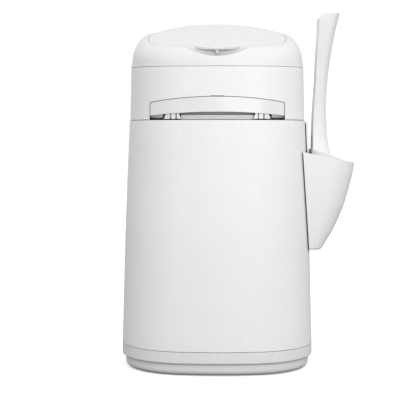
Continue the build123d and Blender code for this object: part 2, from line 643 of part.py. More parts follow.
# bag cutter under the back of the chassis
with BuildPart() as cutter_housing:
    with Locations((0, 73.0, 301.6)):
        Box(46.0, 12.0, CHASSIS_Z0 - 301.6, align=(Align.CENTER, Align.CENTER, Align.MIN))
    fillet(cutter_housing.edges().filter_by(Axis.Z), radius=3.0)
    with Locations((0, 68.0, 300.0)):
        Box(2.2, 8.0, 8.6, align=(Align.CENTER, Align.CENTER, Align.MIN), mode=Mode.SUBTRACT)
    with Locations((0, 74.0, 303.2)):
        Box(0.7, 6.4, 6.0, align=(Align.CENTER, Align.CENTER, Align.MIN), mode=Mode.SUBTRACT)

with BuildPart() as cutter_blade:
    with BuildSketch(Plane.YZ.offset(-0.3)):
        with BuildLine():
            Polyline((70.9, 303.4), (77.0, 303.4), (77.0, 309.0), (73.2, 309.0), close=True)
        make_face()
    extrude(amount=0.6)

# ===========================================================================
# hopper: shelf for the cassette and a funnel down to the throat
# ===========================================================================
SHELF_Z0, SHELF_Z1 = 335.0, 337.4
FUNNEL_IN = THROAT
FUNNEL_T = -21.9

with BuildPart() as hopper:
    add(prism(UPPER_OUT0 - 3.6, SHELF_Z0, SHELF_Z1))
    add(prism(THROAT + 2.0, CHASSIS_Z1, SHELF_Z1, FUNNEL_T))
    add(prism(-12.4, SHELF_Z1 - 0.5, SHELF_Z1 + 5.0))
    add(prism(-14.2, SHELF_Z1, SHELF_Z1 + 6.0), mode=Mode.SUBTRACT)
    add(prism(THROAT, CHASSIS_Z1 - 0.01, SHELF_Z1 + 0.2, FUNNEL_T), mode=Mode.SUBTRACT)
    with Locations(*[(x, y, SHELF_Z0 - 1) for x, y in BOSSES]):
        Cylinder(1.6, 10, align=(Align.CENTER, Align.CENTER, Align.MIN), mode=Mode.SUBTRACT)

with BuildPart() as hopper_screws:
    with Locations(*[(x, y, SHELF_Z1) for x, y in BOSSES]):
        Cylinder(2.2, 1.9, align=(Align.CENTER, Align.CENTER, Align.MIN))
    with Locations(*[(x, y, SHELF_Z1 - 7.9) for x, y in BOSSES]):
        Cylinder(1.5, 8.0, align=(Align.CENTER, Align.CENTER, Align.MIN))

# ===========================================================================
# bag cassette: a ring tray with pleated film, and its cap
# ===========================================================================
CASS_OUT, CASS_IN = -14.8, -44.4
CASS_Z0, CASS_Z1 = SHELF_Z1 + 0.2, 365.4

with BuildPart() as cassette_body:
    add(prism(CASS_OUT, CASS_Z0, CASS_Z1))
    fillet(cassette_body.faces().sort_by(Axis.Z)[0].edges(), radius=1.6)
    add(prism(CASS_OUT - 1.8, CASS_Z0 + 2.0, CASS_Z1 + 1), mode=Mode.SUBTRACT)
    add(prism(CASS_IN + 1.8, CASS_Z0 + 0.5, CASS_Z1 - 1.6))
    add(prism(CASS_IN, CASS_Z0 - 1, CASS_Z1 + 1), mode=Mode.SUBTRACT)

with BuildPart() as film_pack:
    add(prism(CASS_OUT - 2.4, CASS_Z0 + 2.2, CASS_Z1 - 5.0))
    add(prism(CASS_IN + 2.4, CASS_Z0 + 1.0, CASS_Z1), mode=Mode.SUBTRACT)

with BuildPart() as cap_spigot:
    add(prism(CASS_OUT - 2.0, CASS_Z1 - 3.2, CASS_Z1))
    add(prism(CASS_OUT - 3.8, CASS_Z1 - 4, CASS_Z1 + 1), mode=Mode.SUBTRACT)

with BuildPart() as cassette_cap:
    add(prism(CASS_OUT + 0.4, CASS_Z1, CASS_Z1 + 2.6))
    fillet(cassette_cap.faces().sort_by(Axis.Z)[-1].edges(), radius=1.2)
    add(prism(CASS_OUT - 21.0, CASS_Z1 - 1, CASS_Z1 + 4), mode=Mode.SUBTRACT)
    # spigot inside the tray's wall
    add(cap_spigot.part)
    # two finger tabs to lift the cassette by
    for side in (-1, 1):
        with Locations((side * 79.0, 0, CASS_Z1 + 1.0)):
            Box(12.0, 34.0, 1.6, align=(Align.CENTER, Align.CENTER, Align.MIN))

# the bag film: a collar down the funnel, drawn in over the closed jaws to a
# flat neck against the fixed lip, with a knotted tail hanging in the bucket
FILM = 0.5
NECK_Y = PINCH_Y - 0.05

with BuildPart() as film_tail:
    with BuildSketch(Plane.XY.offset(303.8)):
        with Locations((0, NECK_Y)):
            Ellipse(42.0, 0.9)
    with BuildSketch(Plane.XY.offset(286.0)):
        with Locations((0, NECK_Y)):
            Ellipse(35.0, 8.0)
    with BuildSketch(Plane.XY.offset(266.0)):
        with Locations((0, NECK_Y)):
            Ellipse(6.5, 4.5)
    loft()

with BuildPart() as bag_film:
    add(prism(CASS_IN + 4.0, CASS_Z1 - 1.4, CASS_Z1 - 1.0))
    add(prism(CASS_IN - 2.4, SHELF_Z1 + 0.4, CASS_Z1 - 1.2))
    add(prism(THROAT - 1.0, CHASSIS_Z1 + 0.6, SHELF_Z1 + 0.6, FUNNEL_T))
    add(prism(THROAT - 1.0, CHASSIS_Z0 - 0.2, CHASSIS_Z1 + 0.6))
    add(prism(CASS_IN - 2.4 - FILM, SHELF_Z1 + 0.3, CASS_Z1), mode=Mode.SUBTRACT)
    add(prism(THROAT - 1.0 - FILM, CHASSIS_Z1 + 0.3, SHELF_Z1 + 0.9, FUNNEL_T), mode=Mode.SUBTRACT)
    add(prism(THROAT - 1.0 - FILM, CHASSIS_Z0 + 0.2, CHASSIS_Z1 + 0.7), mode=Mode.SUBTRACT)
    # neck between the jaw lips
    with Locations((0, NECK_Y, 302.8)):
        Box(82.0, 0.1, CHASSIS_Z0 - 302.8, align=(Align.CENTER, Align.CENTER, Align.MIN))
    add(film_tail.part)
    with Locations((0, NECK_Y, 262.0)):
        Sphere(7.0)

# ===========================================================================
# top cover: drafted skin cut by the lid plane, big soft edge all round
# ===========================================================================
COVER_OUT = -2.2 + (COVER_Z - 366.0) * math.tan(math.radians(COVER_DRAFT))
LID_PLANE = lid_plane(0.0)
LID_GAP = 0.5
LID_HINGE_Y, LID_HINGE_Z = 69.5, 427.5
LID_BARREL_R = 3.2
TONGUE_TIP = -88.2      # in the lid plane, measured down its slope
TONGUE_X = 39.0
RECESS_Y, RECESS_Z, RECESS_R = -90.0, 397.0, 18.8
RECESS_END = 16.2       # radius of the hollow at its two ends


def lid_cut(d, drop0, drop1):
    """Lid outline offset by d, swept square to the lid plane between two depths."""
    with BuildPart() as p:
        with BuildSketch(LID_PLANE.offset(-drop1)):
            with BuildLine():
                lid_lines(d)
            make_face()
        extrude(amount=drop1 - drop0)
    return p.part


def tongue_cut(d, drop0, drop1):
    with BuildPart() as p:
        with BuildSketch(LID_PLANE.offset(-drop1)):
            with BuildLine():
                ThreePointArc(
                    (-TONGUE_X - d, LID_FRONT + 1.0),
                    (0, TONGUE_TIP - d),
                    (TONGUE_X + d, LID_FRONT + 1.0),
                )
                Line((TONGUE_X + d, LID_FRONT + 1.0), (TONGUE_X + d - 4, LID_FRONT + 12.0))
                Line((TONGUE_X + d - 4, LID_FRONT + 12.0), (-TONGUE_X - d + 4, LID_FRONT + 12.0))
                Line((-TONGUE_X - d + 4, LID_FRONT + 12.0), (-TONGUE_X - d, LID_FRONT + 1.0))
            make_face()
        extrude(amount=drop1 - drop0)
    return p.part


def under(drop):
    """Everything below the domed top surface, lowered by drop."""
    lean = math.sqrt(1 + LID_S**2)
    axis = Plane(
        origin=(0, 0, LID_Z0 - drop - CROWN_R * lean),
        x_dir=(1, 0, 0),
        z_dir=(0, 1, LID_S),
    )
    with BuildPart() as p:
        with Locations(axis):
            Cylinder(CROWN_R, 1400.0)
    return p.part


INNER_LIMIT = Plane(origin=(0, 0, LID_Z0 - 2.9), x_dir=(1, 0, 0), z_dir=(0, -0.3235, 1))
OUTER_LIMIT = Plane(origin=(0, 0, LID_Z0 - 5.8), x_dir=(1, 0, 0), z_dir=(0, -0.206, 1))


def crown(drop):
    """Space under the cover's top behind the lid: it falls away outside the
    lid's outline instead of rising on; free inside the outline and in front."""
    with BuildPart() as p:
        with BuildSketch(INNER_LIMIT):
            with BuildLine():
                lid_lines(1.0)
            make_face()
        with BuildSketch(OUTER_LIMIT):
            with BuildLine():
                lid_lines(44.0)
            make_face()
        loft(ruled=True)
        with BuildSketch(OUTER_LIMIT.offset(-90.0)):
            with BuildLine():
                lid_lines(44.0)
            make_face()
        extrude(amount=90.02)
        with BuildSketch(LID_PLANE.offset(-20.0)):
            with BuildLine():
                lid_lines(1.0)
            make_face()
        extrude(amount=60.0)
        with Locations((0, -110.0, 400.0)):
            Box(300.0, 200.0, 160.0)
    return p.part.moved(Location((0, 0, -drop)))


def cover_solid(d, drop, r):
    with BuildPart() as p:
        add(prism(COVER_OUT + d, 366.0, 448.0, COVER_DRAFT))
        add(under(drop), mode=Mode.INTERSECT)
        fillet(p.faces().sort_by(Axis.Z)[-1].edges(), radius=r)
        add(crown(drop), mode=Mode.INTERSECT)
    return p.part


def recess(grow):
    """Finger recess: a barrel-shaped hollow along X behind a smile-shaped mouth."""
    with BuildPart() as p:
        with BuildSketch(Plane(origin=(0, RECESS_Y, RECESS_Z), x_dir=(1, 0, 0), z_dir=(0, -1, 0))):
            with BuildLine():
                Line((-42, 0), (42, 0))
                Line((42, 0), (42, RECESS_END + grow))
                ThreePointArc((42, RECESS_END + grow), (0, RECESS_R + grow), (-42, RECESS_END + grow))
                Line((-42, RECESS_END + grow), (-42, 0))
            make_face()
        revolve(axis=Axis((0, RECESS_Y, RECESS_Z), (1, 0, 0)))
    with BuildPart() as mouth:
        with BuildSketch(Plane.XZ.offset(78.8 - grow)):
            with BuildLine():
                ThreePointArc((-39.5 - grow, 391.6), (0, 379.7 - grow), (39.5 + grow, 391.6))
                Line((39.5 + grow, 391.6), (39.5 + grow, 405.0))
                Line((39.5 + grow, 405.0), (-39.5 - grow, 405.0))
                Line((-39.5 - grow, 405.0), (-39.5 - grow, 391.6))
            make_face()
        extrude(amount=26.0)
    return p.part & mouth.part


def hinge_block(x_size, y0, y1, drop):
    """Box across the lid's hinge, down to a plane dropped below the lid."""
    with BuildPart() as p:
        with Locations((0, (y0 + y1) / 2, 420.0)):
            Box(x_size, y1 - y0, 60.0)
        split(bisect_by=LID_PLANE.offset(-drop), keep=Keep.TOP)
    return p.part


cover_outer = cover_solid(0.0, 0.0, COVER_R)
cover_inner = cover_solid(-WALL, 2.5, COVER_R - WALL)
cover_skin = cover_outer - cover_inner
lid_seat = (cover_outer & lid_cut(3.0, -40.0, 20.0)) - under(7.2)
lid_well = lid_cut(LID_GAP, -40.0, 20.0) - under(5.0)
tongue_well = tongue_cut(LID_GAP, -40.0, 20.0) - under(3.5)
hinge_bed = cover_outer & hinge_block(75.0, 55.4, 79.0, 12.4)
recess_shell = cover_outer & recess(2.2)

with BuildPart() as top_cover:
    add(cover_skin)
    # seat under the lid's edge, and its wall up to the skin
    add(lid_seat)
    # block for the hinge pocket
    add(hinge_bed)
    # shell behind the finger recess
    add(recess_shell)
    add(recess(0.0), mode=Mode.SUBTRACT)
    add(lid_well, mode=Mode.SUBTRACT)
    add(tongue_well, mode=Mode.SUBTRACT)
    add(lid_cut(-7.0, -40.0, 60.0), mode=Mode.SUBTRACT)
    # pocket for the lid's hinge
    add(hinge_block(69.4, 56.9, 76.5, 9.8), mode=Mode.SUBTRACT)
    # fixed knuckles of the lid's hinge
    for x0, x1 in ((-34.0, -26.5), (-13.5, 13.5), (26.5, 34.0)):
        with Locations(Plane(origin=((x0 + x1) / 2, LID_HINGE_Y, LID_HINGE_Z), z_dir=(1, 0, 0))):
            Cylinder(LID_BARREL_R, x1 - x0)
        with Locations(((x0 + x1) / 2, LID_HINGE_Y + 0.8, LID_HINGE_Z - 3.1)):
            Box(x1 - x0, 4.8, 6.2)
    # lower edge at the seam
    split(bisect_by=SEAM_PLANE.offset(0.22), keep=Keep.TOP)
    # rear knuckle around the cover's hinge pin
    for x0, x1 in ((-25.4, -12.0), (12.0, 25.4)):
        with BuildSketch(Plane(origin=(x0, 0, 0), x_dir=(0, 1, 0), z_dir=(1, 0, 0))):
            with BuildLine():
                Polyline(
                    (93.6, COVER_HZ + 1.2),
                    (COVER_Y, COVER_HZ + 0.0),
                    (COVER_Y + 4.2, COVER_HZ),
                    (COVER_Y + 2.4, COVER_HZ + 5.2),
                    (93.0, COVER_HZ + 13.0),
                    (93.6, COVER_HZ + 1.2),
                )
            make_face()
            with Locations((COVER_Y, COVER_HZ)):
                Circle(4.2)
        extrude(amount=x1 - x0)
    with Locations(Plane(origin=(0, COVER_Y, COVER_HZ), z_dir=(1, 0, 0))):
        Cylinder(COVER_PIN_R + RUN, 60, mode=Mode.SUBTRACT)
    with Locations(Plane(origin=(0, LID_HINGE_Y, LID_HINGE_Z), z_dir=(1, 0, 0))):
        Cylinder(LID_PIN_R, 68.6, mode=Mode.SUBTRACT)

# ===========================================================================
# lid with front tongue, inner flange and hinge knuckles
# ===========================================================================
with BuildPart() as lid_skin:
    add(lid_cut(0.0, -40.0, 20.0))
    add(tongue_cut(0.0, -40.0, 20.0))
    add(cover_outer, mode=Mode.INTERSECT)
    add(under(LID_T), mode=Mode.SUBTRACT)

with BuildPart() as lid_flange:
    add(lid_cut(-8.0, 0.0, 8.6))
    add(lid_cut(-9.8, -1.0, 9.6), mode=Mode.SUBTRACT)
    add(under(LID_T - 0.4), mode=Mode.INTERSECT)

with BuildPart() as lid:
    add(lid_skin.part)
    # flange that enters the opening
    add(lid_flange.part)
    # ribs under the lid
    for x in (-36.0, 0.0, 36.0):
        with BuildSketch(LID_PLANE.offset(-5.6)):
            with Locations((x, -10.6)):
                Rectangle(1.8, 106.0)
        extrude(amount=5.6 - LID_T + 0.4)
    # small V tab under the tongue's tip
    with BuildSketch(Plane(origin=(0, -79.8, 0), x_dir=(1, 0, 0), z_dir=(0, -1, 0))):
        with BuildLine():
            Polyline((-3.5, 390.0), (-1.2, 383.5), (0, 382.9), (1.2, 383.5), (3.5, 390.0), close=True)
        make_face()
    extrude(amount=2.0)
    # moving knuckles
    for x0, x1 in ((-26.0, -14.0), (14.0, 26.0)):
        with BuildSketch(Plane(origin=(x0, 0, 0), x_dir=(0, 1, 0), z_dir=(1, 0, 0))):
            with BuildLine():
                Polyline(
                    (60.4, 429.2),
                    (LID_HINGE_Y, LID_HINGE_Z + 1.2),
                    (LID_HINGE_Y, LID_HINGE_Z - LID_BARREL_R),
                    (60.4, 426.0),
                    close=True,
                )
            make_face()
            with Locations((LID_HINGE_Y, LID_HINGE_Z)):
                Circle(LID_BARREL_R)
        extrude(amount=x1 - x0)
    with Locations(Plane(origin=(0, LID_HINGE_Y, LID_HINGE_Z), z_dir=(1, 0, 0))):
        Cylinder(LID_PIN_R + RUN, 60, mode=Mode.SUBTRACT)

with BuildPart() as lid_hinge_pin:
    with Locations(Plane(origin=(0, LID_HINGE_Y, LID_HINGE_Z), z_dir=(1, 0, 0))):
        Cylinder(LID_PIN_R, 68.0)
    chamfer(lid_hinge_pin.edges().filter_by(GeomType.CIRCLE), length=0.3)

with BuildPart() as lid_seal:
    add(lid_cut(-4.2, 0.0, 20.0))
    add(lid_cut(-6.8, -1.0, 21.0), mode=Mode.SUBTRACT)
    add(under(LID_T), mode=Mode.INTERSECT)
    add(under(LID_T + 1.5), mode=Mode.SUBTRACT)

# ===========================================================================
# scoop holder: open pocket hung over the bucket's rim by a strap and hook
# ===========================================================================
HOLD = [
    # height, outer X, half width along Y, corner radius
    (145.6, 126.4, 44.0, 10.0),
    (148.2, 129.8, 46.0, 12.4),
    (158.0, 136.0, 47.6, 17.0),
    (168.0, 142.4, 48.6, 20.5),
    (181.0, 148.8, 49.6, 23.5),
    (200.0, 156.8, 51.0, 25.5),
    (220.0, 162.6, 52.3, 26.8),
    (240.0, 167.4, 53.5, 28.0),
    (268.0, 171.6, 55.2, 29.0),
]
HOLD_RIM = Plane(origin=(113.8, 0, 264.0), x_dir=(1, 0, -0.204), z_dir=(0.204, 0, 1))


def bucket_grown(g, z_top=306.0):
    with BuildPart() as p:
        add(prism(BASE_OUT + g, BUCKET_SEAM, BEND_Z, BEND_T))
        add(prism(BEND_OUT + g, BEND_Z, z_top, TOP_T))
    return p.part


def pocket(inset, lift):
    with BuildPart() as p:
        for z, x, w, r in HOLD:
            if z == HOLD[0][0]:
                z = z + lift
            x, w, r = x - inset, w - inset, r - inset
            with BuildSketch(Plane.XY.offset(z)):
                with BuildLine():
                    k = r * (1 - math.sqrt(0.5))
                    Line((100, -w), (x - r, -w))
                    ThreePointArc((x - r, -w), (x - k, -w + k), (x, -w + r))
                    Line((x, -w + r), (x, w - r))
                    ThreePointArc((x, w - r), (x - k, w - k), (x - r, w))
                    Line((x - r, w), (100, w))
                    Line((100, w), (100, -w))
                make_face()
        loft(ruled=True)
    return p.part


with BuildPart() as pocket_outer:
    add(pocket(0.0, 0.0))
    add(bucket_grown(1.8), mode=Mode.SUBTRACT)

with BuildPart() as strap:
    add(bucket_grown(3.7, 303.4))
    add(bucket_grown(1.3, 310.0), mode=Mode.SUBTRACT)
    with Locations((115, 0, 277)):
        Box(24, 40, 60, mode=Mode.INTERSECT)

with BuildPart() as strap_rib:
    # rib along the strap's rear edge that rests on the bucket
    add(bucket_grown(2.4, 303.0))
    add(bucket_grown(0.2, 310.0), mode=Mode.SUBTRACT)
    with Locations((115, 17.4, 280.0)):
        Box(24, 5.2, 44, mode=Mode.INTERSECT)

with BuildPart() as pad_zone:
    with Locations((115, 30, 160), (115, -30, 160)):
        Box(24, 8, 12)

with BuildPart() as pocket_hollow:
    add(pocket(2.2, 2.4))
    add(bucket_grown(4.0), mode=Mode.SUBTRACT)

with BuildPart() as rest_pads:
    # two pads that rest on the bucket's side
    add(bucket_grown(2.8))
    add(bucket_grown(0.0), mode=Mode.SUBTRACT)
    add(pad_zone.part, mode=Mode.INTERSECT)

with BuildPart() as scoop_holder:
    add(pocket_outer.part)
    add(pocket_hollow.part, mode=Mode.SUBTRACT)
    split(bisect_by=HOLD_RIM, keep=Keep.BOTTOM)
    # strap up the bucket and hook over its rim
    add(strap.part)
    add(strap_rib.part)
    with Locations((109.0, 0, 302.2)):
        Box(10.0, 40.0, 2.6)
    with Locations((105.2, 0, 295.8)):
        Box(2.4, 40.0, 15.4)
    add(rest_pads.part)
    # drain holes in the pocket's floor
    with Locations((123.4, -24, 144), (123.4, 0, 144), (123.4, 24, 144)):
        Cylinder(1.8, 8.0, mode=Mode.SUBTRACT)

# ===========================================================================
# scoop: sifting bowl and a hollow handle
# ===========================================================================
SCOOP_T = 2.2


def bowl(inset):
    """Wedge of the bowl; the inset version opens through its outer face."""
    reach = 30.0 if inset else 0.0
    with BuildPart() as p:
        with BuildSketch(Plane.XZ):
            with BuildLine():
                Polyline(
                    (116.6 + inset * 1.02, 269.4 - inset * 1.08),
                    (120.9 + inset - reach * 0.0375, 151.0 - reach),
                    (125.0 + reach, 151.0 - reach),
                    (125.0 + reach, 152.0),
                    (155.6 + reach, 256.0 - inset * 1.08 - reach * 0.343),
                    close=True,
                )
            make_face()
        extrude(amount=60.0, both=True)
        with BuildSketch(Plane.YZ.offset(100.0)):
            with BuildLine():
                Polyline(
                    (-43.4 + inset, 269.4), (43.4 - inset, 269.4),
                    (39.0 - inset - reach * 0.047, 151.0 - reach),
                    (-39.0 + inset + reach * 0.047, 151.0 - reach),
                    close=True,
                )
            make_face()
        extrude(amount=120.0, mode=Mode.INTERSECT)
        # soft edges along the floor
        fillet(
            [e for e in p.edges() if e.center().X < 122 and abs(e.center().Y) > 30 and e.length > 60],
            radius=max(1.0, 8.0 - inset),
        )
    return p.part


HANDLE_SECTIONS = [
    # height, inner X, outer X, width along Y
    (262.0, 118.8, 141.8, 42.0),
    (275.5, 118.8, 138.8, 36.5),
    (290.6, 119.0, 137.2, 31.5),
    (320.7, 120.0, 136.2, 27.5),
    (350.7, 122.0, 137.4, 26.5),
    (380.7, 123.3, 140.9, 28.5),
    (410.7, 125.2, 145.8, 33.0),
    (425.6, 125.8, 149.2, 35.0),
    (438.4, 126.3, 152.4, 36.0),
]


GRIP_BACK = 1.8         # wall on the side toward the pail


def grip_lines(x0, x1, w, ri, ro):
    """Handle section: small corners toward the pail, round corners outside."""
    h = w / 2
    ki, ko = ri * (1 - math.sqrt(0.5)), ro * (1 - math.sqrt(0.5))
    Line((x0 + ri, -h), (x1 - ro, -h))
    ThreePointArc((x1 - ro, -h), (x1 - ko, -h + ko), (x1, -h + ro))
    Line((x1, -h + ro), (x1, h - ro))
    ThreePointArc((x1, h - ro), (x1 - ko, h - ko), (x1 - ro, h))
    Line((x1 - ro, h), (x0 + ri, h))
    ThreePointArc((x0 + ri, h), (x0 + ki, h - ki), (x0, h - ri))
    Line((x0, h - ri), (x0, -h + ri))
    ThreePointArc((x0, -h + ri), (x0 + ki, -h + ki), (x0 + ri, -h))


def grip(inset, open_back):
    with BuildPart() as p:
        for z, x0, x1, w in HANDLE_SECTIONS:
            if open_back:
                if z < 270 or z > 430:
                    continue
                x0, x1, w = x0 + GRIP_BACK, x1 - inset, w - 2 * inset
            elif inset:
                x1, w = x1 - inset, w - 2 * inset
            with BuildSketch(Plane.XY.offset(z)):
                with BuildLine():
                    grip_lines(x0, x1, w, 1.2, 8.0 - inset)
                make_face()
        loft()
    return p.part


with BuildPart() as grip_outline:
    # side outline of the handle's end
    with BuildSketch(Plane.XZ):
        with BuildLine():
            Line((95, 255), (95, 427.2))
            Line((95, 427.2), (125.2, 427.2))
            ThreePointArc((125.2, 427.2), (127.9, 433.9), (134.4, 437.3))
            Line((134.4, 437.3), (170, 438.3))
            Line((170, 438.3), (170, 255))
            Line((170, 255), (95, 255))
        make_face()
    extrude(amount=40.0, both=True)

with BuildPart() as grip_body:
    add(grip(0.0, False))
    fillet(grip_body.faces().sort_by(Axis.Z)[-1].edges(), radius=0.9)
    add(grip_outline.part, mode=Mode.INTERSECT)
    add(grip(2.4, True), mode=Mode.SUBTRACT)
    # vent slot low in the wall toward the pail
    with Locations((118.0, 0, 282.0)):
        Box(9.0, 9.0, 6.0, mode=Mode.SUBTRACT)

with BuildPart() as scoop:
    add(bowl(0.0))
    add(grip_body.part)
    add(bowl(SCOOP_T), mode=Mode.SUBTRACT)
    # sifting slots through the bowl's floor
    with BuildSketch(Plane.YZ.offset(112.0)):
        for z, n in ((172.0, 4), (205.0, 4), (238.0, 4)):
            for i in range(-n, n + 1):
                with Locations((i * 8.4, z)):
                    SlotOverall(26.0, 4.4, rotation=90)
    extrude(amount=13.0, mode=Mode.SUBTRACT)

base_tray.part.label = "base_tray"
export_step(base_tray.part, "parts/base_tray.step")
base_feet.part.label = "base_feet"
export_step(base_feet.part, "parts/base_feet.step")
base_screws.part.label = "base_screws"
export_step(base_screws.part, "parts/base_screws.step")
bucket.part.label = "bucket"
export_step(bucket.part, "parts/bucket.step")
rear_hinge_pin.part.label = "rear_hinge_pin"
export_step(rear_hinge_pin.part, "parts/rear_hinge_pin.step")
upper_body.part.label = "upper_body"
export_step(upper_body.part, "parts/upper_body.step")
cover_hinge_pin.part.label = "cover_hinge_pin"
export_step(cover_hinge_pin.part, "parts/cover_hinge_pin.step")
handle.part.label = "handle"
export_step(handle.part, "parts/handle.step")
slide_jaw.part.label = "slide_jaw"
export_step(slide_jaw.part, "parts/slide_jaw.step")
handle_screws.part.label = "handle_screws"
export_step(handle_screws.part, "parts/handle_screws.step")
slide_jaw_lip.part.label = "slide_jaw_lip"
export_step(slide_jaw_lip.part, "parts/slide_jaw_lip.step")
chassis.part.label = "chassis"
export_step(chassis.part, "parts/chassis.step")
chassis_screws.part.label = "chassis_screws"
export_step(chassis_screws.part, "parts/chassis_screws.step")
guide_rods.part.label = "guide_rods"
export_step(guide_rods.part, "parts/guide_rods.step")
return_springs.part.label = "return_springs"
export_step(return_springs.part, "parts/return_springs.step")
guide_rail_left.part.label = "guide_rail_left"
export_step(guide_rail_left.part, "parts/guide_rail_left.step")
guide_rail_right.part.label = "guide_rail_right"
export_step(guide_rail_right.part, "parts/guide_rail_right.step")
rail_screws.part.label = "rail_screws"
export_step(rail_screws.part, "parts/rail_screws.step")
fixed_jaw.part.label = "fixed_jaw"
export_step(fixed_jaw.part, "parts/fixed_jaw.step")
fixed_jaw_screws.part.label = "fixed_jaw_screws"
export_step(fixed_jaw_screws.part, "parts/fixed_jaw_screws.step")
fixed_jaw_lip.part.label = "fixed_jaw_lip"
export_step(fixed_jaw_lip.part, "parts/fixed_jaw_lip.step")
snap_clips.part.label = "snap_clips"
export_step(snap_clips.part, "parts/snap_clips.step")
cutter_housing.part.label = "cutter_housing"
export_step(cutter_housing.part, "parts/cutter_housing.step")
cutter_blade.part.label = "cutter_blade"
export_step(cutter_blade.part, "parts/cutter_blade.step")
hopper.part.label = "hopper"
export_step(hopper.part, "parts/hopper.step")
hopper_screws.part.label = "hopper_screws"
export_step(hopper_screws.part, "parts/hopper_screws.step")
cassette_body.part.label = "cassette_body"
export_step(cassette_body.part, "parts/cassette_body.step")
film_pack.part.label = "film_pack"
export_step(film_pack.part, "parts/film_pack.step")
cassette_cap.part.label = "cassette_cap"
export_step(cassette_cap.part, "parts/cassette_cap.step")
bag_film.part.label = "bag_film"
export_step(bag_film.part, "parts/bag_film.step")
top_cover.part.label = "top_cover"
export_step(top_cover.part, "parts/top_cover.step")
lid.part.label = "lid"
export_step(lid.part, "parts/lid.step")
lid_hinge_pin.part.label = "lid_hinge_pin"
export_step(lid_hinge_pin.part, "parts/lid_hinge_pin.step")
lid_seal.part.label = "lid_seal"
export_step(lid_seal.part, "parts/lid_seal.step")
scoop_holder.part.label = "scoop_holder"
export_step(scoop_holder.part, "parts/scoop_holder.step")
scoop.part.label = "scoop"
export_step(scoop.part, "parts/scoop.step")
